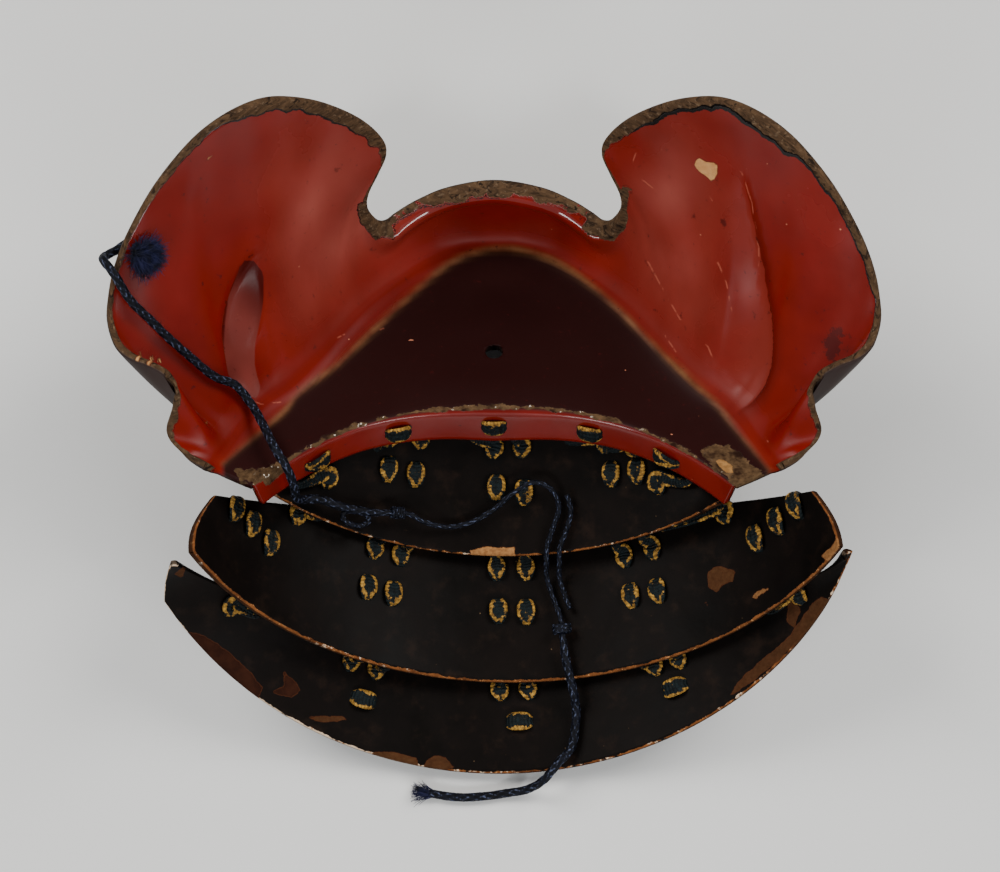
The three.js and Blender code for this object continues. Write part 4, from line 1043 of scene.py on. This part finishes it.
lace_mat = lace_material("lace_silk")
loop_marks = []
LACE_STEPS, LACE_SIDES = 7, 20
for name, (stations, closed, ring) in strips.items():
    points, outs, acrosses, shows = zip(*stations)
    P = catmull(points, LACE_STEPS, closed)
    O = unit(catmull(outs, LACE_STEPS, closed))
    A = unit(catmull(acrosses, LACE_STEPS, closed))
    I = hold(catmull(shows, LACE_STEPS, closed))
    T = np.gradient(P, axis=0)
    if closed:
        T = np.roll(P, -1, axis=0) - np.roll(P, 1, axis=0)
    T = unit(T)
    flat = A if ring else np.cross(T, O)
    S = unit(flat - T * np.sum(flat * T, axis=-1, keepdims=True))
    F = np.cross(S, T)
    along = run_along(P)
    # A loop is widest where it lies on the sheet, and narrow where it dives into its hole
    swell = I
    for _ in range(9):
        pad = np.pad(swell, 1, mode="wrap" if closed else "edge")
        swell = (pad[:-2] + 2 * pad[1:-1] + pad[2:]) / 4
    # How far down its own visible loop each point lies in the picture, from -1 to 1
    rows_y = picture(P + SET_DOWN)[:, 1]
    down = np.zeros(len(P))
    shown = np.flatnonzero(I > 0.05)
    for group in np.split(shown, np.flatnonzero(np.diff(shown) > 1) + 1):
        low, high = rows_y[group].min(), rows_y[group].max()
        if high - low > 10:
            down[group] = (2 * rows_y[group] - low - high) / (high - low)
    width = LACE_WIDTH * (0.70 + 1.0 * swell) * (1 - 0.28 * hold(down) ** 1.5)
    thick = LACE_THICK * (0.95 + 0.45 * swell)
    # Flat section with a groove down its middle
    cells = []
    places = []
    for a in np.linspace(0, 2 * math.pi, LACE_SIDES, endpoint=False):
        cx, cy = math.cos(a), math.sin(a)
        px = np.sign(cx) * abs(cx) ** 0.7
        py = np.sign(cy) * abs(cy) ** 0.75 * (1 - 0.35 * math.exp(-(px / 0.32) ** 2))
        cells.append(P + S * (px * width / 2)[:, None] + F * (py * thick / 2)[:, None])
        places.append(px)
    verts = np.stack(cells, axis=1).reshape(-1, 3) + SET_DOWN
    faces = tube_faces(len(P), LACE_SIDES, closed)
    # Gold edges that draw in to a point at the foot of each loop, round a dark heart
    s_grid = np.tile(places, len(P))
    runs = (along, I, hold(down), hold(-down - 0.4))
    t_grid, silk, foot, head = (np.repeat(values, LACE_SIDES) for values in runs)
    outline = 0.88 * (1 - 0.95 * foot ** 1.1) * (1 - 0.6 * head)
    worn = 0.62 * hold(1.35 - np.abs(np.abs(s_grid) - outline) / (0.26 + 0.14 * foot)) + 0.1
    worn *= 0.35 + 0.65 * hold(silk * 1.6)
    data = {"across": s_grid, "along": t_grid, "worn": worn}
    obj = make_mesh(name + "_silk", verts, faces, data, lace_mat)
    dress(obj, name)
    loop_marks.append(picture(P + SET_DOWN)[I > 0.6])

marks = np.concatenate(loop_marks)
for name, (inner, outer, pix, data) in lame_grids.items():
    flat = pix.reshape(-1, 2)
    best = np.full(len(flat), 1e9)
    for q in marks[::3]:
        best = np.minimum(best, np.hypot(*(flat - q).T))
    data["halo"] = hold(1.2 - best.reshape(pix.shape[:2]) / 11)
    obj = sheet_mesh(name + "_lacquered", inner, outer, data, lame_material(name + "_lacquer"), 0.3)
    dress(obj, name)


# The cord
# Route of the tie cord in metres, from its tuft in the left cheek to its frayed end
ROUTE = [
    (-0.0860, 0.0387, 0.0722), (-0.0869, 0.0398, 0.0707), (-0.0883, 0.0414, 0.0685),
    (-0.0916, 0.0393, 0.0683), (-0.0940, 0.0371, 0.0700), (-0.0936, 0.0351, 0.0730),
    (-0.0913, 0.0321, 0.0726), (-0.0878, 0.0270, 0.0675), (-0.0835, 0.0236, 0.0622),
    (-0.0792, 0.0202, 0.0573), (-0.0747, 0.0171, 0.0525), (-0.0691, 0.0137, 0.0465),
    (-0.0645, 0.0127, 0.0427), (-0.0605, 0.0085, 0.0389), (-0.0570, 0.0020, 0.0419),
    (-0.0536, -0.0050, 0.0460), (-0.0510, -0.0091, 0.0458), (-0.0496, -0.0123, 0.0404),
    (-0.0492, -0.0142, 0.0336), (-0.0480, -0.0136, 0.0300), (-0.0439, -0.0130, 0.0276),
    (-0.0378, -0.0145, 0.0249), (-0.0311, -0.0150, 0.0216), (-0.0218, -0.0148, 0.0188),
    (-0.0182, -0.0164, 0.0176), (-0.0123, -0.0173, 0.0150), (-0.0062, -0.0162, 0.0149),
    (-0.0003, -0.0130, 0.0157), (0.0048, -0.0094, 0.0189), (0.0102, -0.0069, 0.0204),
    (0.0146, -0.0085, 0.0195), (0.0166, -0.0127, 0.0177), (0.0153, -0.0171, 0.0163),
    (0.0135, -0.0227, 0.0146), (0.0134, -0.0261, 0.0130), (0.0135, -0.0291, 0.0098),
    (0.0149, -0.0338, 0.0089), (0.0169, -0.0400, 0.0104), (0.0176, -0.0460, 0.0108),
    (0.0183, -0.0511, 0.0109), (0.0192, -0.0550, 0.0107), (0.0202, -0.0593, 0.0099),
    (0.0208, -0.0622, 0.0076), (0.0208, -0.0663, 0.0071), (0.0195, -0.0730, 0.0073),
    (0.0162, -0.0769, 0.0080), (0.0124, -0.0811, 0.0066), (0.0084, -0.0829, 0.0030),
    (0.0030, -0.0837, 0.0014), (-0.0030, -0.0845, 0.0014), (-0.0095, -0.0847, 0.0014),
    (-0.0165, -0.0837, 0.0014),
]

# The strand beside it
DOUBLED = [
    (0.0186, -0.0098, 0.0193), (0.0196, -0.0140, 0.0180), (0.0184, -0.0186, 0.0165),
    (0.0168, -0.0230, 0.0152), (0.0167, -0.0264, 0.0132), (0.0168, -0.0296, 0.0100),
    (0.0180, -0.0336, 0.0096), (0.0194, -0.0376, 0.0099),
]

# Name, place as a share of the cord's length, length, wall and width of each binding
BINDINGS = [
    ("cord_eye", 0.425, 1.8, 1.0, 1.5),
    ("cord_whipping", 0.4445, 4.0, 0.8, 1.0),
    ("cord_knot", 0.735, 3.0, 0.9, 1.6),
]


cord_mat = cord_material()
thread_mat = thread_material()
BRAID_SIDES, THREAD_RINGS, THREAD_SIDES = 24, 9, 4


def centripetal(points, steps):
    """The same curve as the part's: a centripetal Catmull-Rom, sampled evenly in its parameter."""
    P = np.asarray(points, float)
    n = len(P)
    out = []
    for k in range(steps + 1):
        s = k / steps * (n - 1)
        i = min(int(s), n - 2)
        t = s - i
        p1, p2 = P[i], P[i + 1]
        p0 = P[i - 1] if i > 0 else 2 * P[0] - P[1]
        p3 = P[i + 2] if i + 2 < n else 2 * P[-1] - P[-2]
        d0, d1, d2 = (max(np.sum(gap ** 2) ** 0.25, 1e-4) for gap in (p1 - p0, p2 - p1, p3 - p2))
        m1 = ((p1 - p0) / d0 - (p2 - p0) / (d0 + d1) + (p2 - p1) / d1) * d1
        m2 = ((p2 - p1) / d1 - (p3 - p1) / (d1 + d2) + (p3 - p2) / d2) * d1
        c2 = -3 * p1 + 3 * p2 - 2 * m1 - m2
        c3 = 2 * p1 - 2 * p2 + m1 + m2
        out.append(p1 + m1 * t + c2 * t * t + c3 * t ** 3)
    return np.array(out)


def frames_along(P):
    """Two steady directions across the line at each point."""
    T = unit(np.gradient(P, axis=0))
    side = unit(np.cross(T[0], [0.2, 0.1, 1.0]))
    S = [side]
    for t in T[1:]:
        side = unit(side - t * np.dot(side, t))
        S.append(side)
    S = np.array(S)
    return S, np.cross(T, S)


def braid(name, points, diameter, steps, strands, lay, taper=None):
    """A round braid: a tube whose surface rises where its strands cross over."""
    P = centripetal(np.array(points) * 1000, steps)
    S, B = frames_along(P)
    along = run_along(P)
    angle = np.linspace(0, 2 * math.pi, BRAID_SIDES, endpoint=False)[None, :]
    turns = 2 * math.pi * along[:, None] / lay
    over = np.sin(turns * 0.5 + strands * angle * 0.5)
    one = np.cos(strands * angle + turns) * (0.72 + 0.28 * over)
    two = np.cos(strands * angle - turns) * (0.72 - 0.28 * over)
    tone = np.maximum(one, two)
    radius = diameter / 2 * (0.91 + 0.13 * tone)
    if taper is not None:
        radius = radius * taper(np.linspace(0, 1, steps + 1))[:, None]
    X = P[:, None] + S[:, None] * (np.cos(angle) * radius)[..., None]
    X = X + B[:, None] * (np.sin(angle) * radius)[..., None]
    data = {"tone": (tone * 0.5 + 0.5).reshape(-1)}
    obj = make_mesh(name, X.reshape(-1, 3), tube_faces(len(P), BRAID_SIDES), data, cord_mat)
    return obj, P, along[-1]


def threads(name, strands, width, seed, droop=0.0, curl=0.25):
    """Loose threads: thin tapered tubes that wander. Each has a start, a way, a length and a shade."""
    rng = np.random.default_rng(seed)
    verts, faces, tones = [], [], []
    last = THREAD_RINGS - 1
    for start, way, length, shade in strands:
        line = [start]
        d = unit(way)
        bend = rng.normal(0, curl, 3)
        for _ in range(last):
            d = unit(d + bend * 0.25 + rng.normal(0, curl * 0.35, 3) + np.array([0, 0, -droop]))
            line.append(line[-1] + d * length / last)
        L = np.array(line)
        S, B = frames_along(L)
        faces += tube_faces(THREAD_RINGS, THREAD_SIDES, base=len(verts))
        for k in range(THREAD_RINGS):
            r = width / 2 * (1 - 0.55 * (k / last) ** 2)
            for j in range(THREAD_SIDES):
                a = j * 2 * math.pi / THREAD_SIDES
                verts.append(L[k] + S[k] * math.cos(a) * r + B[k] * math.sin(a) * r)
                tones.append(shade * (1 - 0.6 * k / last))
    return make_mesh(name, verts, faces, {"shade": tones}, thread_mat)


# Shares of the cord's length between which it is drawn thinner, and by how much
THIN_FROM, THIN_TO, THINNER = 0.425, 0.76, 0.42


def slack(share):
    """The cord is drawn thinner between its eye and the knot at the foot of the doubled part."""
    return 1 - THINNER * (hold((share - THIN_FROM) / 0.02) * hold((THIN_TO - share) / 0.03))


cord_obj, cord_path, cord_length = braid("tie_cord_braid", ROUTE, CORD, 1700, 5, 3.4, slack)
doubled_obj, _, _ = braid("cord_doubled_braid", DOUBLED, CORD * 0.58, 160, 4, 2.4)
dress(cord_obj, "tie_cord")
dress(doubled_obj, "cord_doubled")

# Knots and binding: turns of thinner cord wound round the cord
KNOT_STEPS = 2000
route_mm = np.array(ROUTE) * 1000
P = centripetal(route_mm, KNOT_STEPS)
for name, share, length, wall, wide in BINDINGS:
    k = int(share * KNOT_STEPS)
    at = P[k]
    T = unit(P[k + 1] - P[k - 1])
    level_x = unit(np.array([T[1], -T[0], 0]))
    other = np.cross(T, level_x)
    winds = max(2, round(length / 0.85))
    if name == "cord_eye":
        # The thick braid ends in a small eye that lies beside the thinner cord
        pts = [at - T * 1.5 + T * 3.6 * math.cos(a) + level_x * (1.9 - 1.9 * math.sin(a)) + other * 0.5
               for a in np.linspace(-0.5 * math.pi, 1.5 * math.pi, 30)]
        thick = CORD * 0.62
    else:
        r = CORD / 2 * slack(share) + 0.1 + wall / 2
        thick = wall * 1.05
        pts = []
        for q in np.linspace(0, 1, winds * 14):
            a = q * winds * 2 * math.pi
            round_it = level_x * math.cos(a) * r * wide + other * math.sin(a) * r
            pts.append(at + T * (q - 0.5) * (length - wall) + round_it)
    obj, _, _ = braid(name + "_turns", np.array(pts) / 1000, thick, winds * 30, 3, 1.4)
    dress(obj, name)

# The tuft: loose threads spread from the cord's hole over the cheek, most of them to one side
TIE_AT = np.array([-86.2, 39, 71.8])
TIE_OUT = unit(np.array([0.45, -0.53, 0.72]))
TUFT_THREADS, TUFT_TO = 1700, 25
rng = np.random.default_rng(7)
across = unit(np.array([1, 0, 0]) - TIE_OUT * TIE_OUT[0])
upward = np.cross(TIE_OUT, across)
strands = []
for _ in range(TUFT_THREADS):
    a = rng.normal(TUFT_TO, 50) * DEG if rng.random() < 0.8 else rng.uniform(-math.pi, math.pi)
    r = 2.6 * math.sqrt(rng.random())
    b = rng.uniform(0, 2 * math.pi)
    start = TIE_AT + TIE_OUT * (0.9 + rng.random() * 1.2)
    start = start + across * (r * math.cos(b) + 0.8) + upward * (r * math.sin(b) - 1.7)
    way = across * math.cos(a) - upward * math.sin(a) + TIE_OUT * rng.uniform(-0.02, 0.45)
    aside = a - TUFT_TO * DEG
    reach = 5.6 if abs(aside) < 75 * DEG else 3.0
    length = reach * (0.45 + 0.6 * rng.random())
    shade = np.clip(0.75 - 0.55 * math.cos(aside) - 0.12 * r * math.cos(b), 0.1, 1)
    strands.append((start, way, length, shade))
tuft_obj = threads("tuft_threads", strands, 0.17, 11, droop=0.05)
dress(tuft_obj, "tuft")

# The frayed end of the cord on the surface
FRAY_THREADS = 220
end = cord_path[-1]
ahead = unit(end - cord_path[-40])
side = unit(np.cross(ahead, [0, 0, 1]))
strands = []
for _ in range(FRAY_THREADS):
    b = rng.uniform(0, 2 * math.pi)
    r = 0.9 * math.sqrt(rng.random())
    start = end - ahead * 1.2 + side * r * math.cos(b) + np.array([0, 0, 1]) * r * 0.8 * math.sin(b)
    way = ahead + side * rng.normal(0, 0.22) + np.array([0, 0, rng.normal(0.02, 0.06)])
    strands.append((start, way, 3.2 + 3.2 * rng.random(), 0.9 * rng.random()))
fray_obj = threads("cord_fray", strands, 0.16, 5, curl=0.12)
dress(fray_obj)


# Floor and light
def floor_material():
    m = Mat("floor")
    tone = m.noise(3.0, 2, 0.5)
    color = m.mix(m.spread(tone), (0.70, 0.70, 0.69), (0.74, 0.74, 0.73))
    return m.out(color, 0.9)


bpy.ops.mesh.primitive_plane_add(size=6, location=(0, 0, 0))
floor = bpy.context.object
floor.name = "floor"
floor.data.materials.append(floor_material())

world = bpy.data.worlds.new("studio")
bpy.context.scene.world = world
world.use_nodes = True
world.node_tree.nodes["Background"].inputs[0].default_value = (0.9, 0.95, 1.0, 1)
world.node_tree.nodes["Background"].inputs[1].default_value = 0.14


def area(name, at, aim, size, power, color=(1, 1, 1)):
    data = bpy.data.lights.new(name, "AREA")
    data.shape = "RECTANGLE"
    data.size, data.size_y = size
    data.energy = power
    data.color = color
    obj = bpy.data.objects.new(name, data)
    obj.location = at
    obj.rotation_euler = (Vector(aim) - Vector(at)).to_track_quat("-Z", "Y").to_euler()
    bpy.context.scene.collection.objects.link(obj)


area("key_left", (-0.62, 0.42, 0.75), (0, 0, 0.03), (0.45, 0.55), 8.4, (1.0, 0.98, 0.95))
area("key_right", (0.62, 0.42, 0.75), (0, 0, 0.03), (0.45, 0.55), 8.4, (1.0, 0.98, 0.95))
area("lip_left", (-0.40, -0.67, 0.54), (0, 0, 0.05), (0.5, 0.12), 3.2)
area("lip_right", (0.40, -0.67, 0.54), (0, 0, 0.05), (0.5, 0.12), 3.2)
area("front", (0.0, -0.9, 0.6), (0, 0, 0.03), (1.6, 0.9), 2.0, (0.95, 0.98, 1.0))
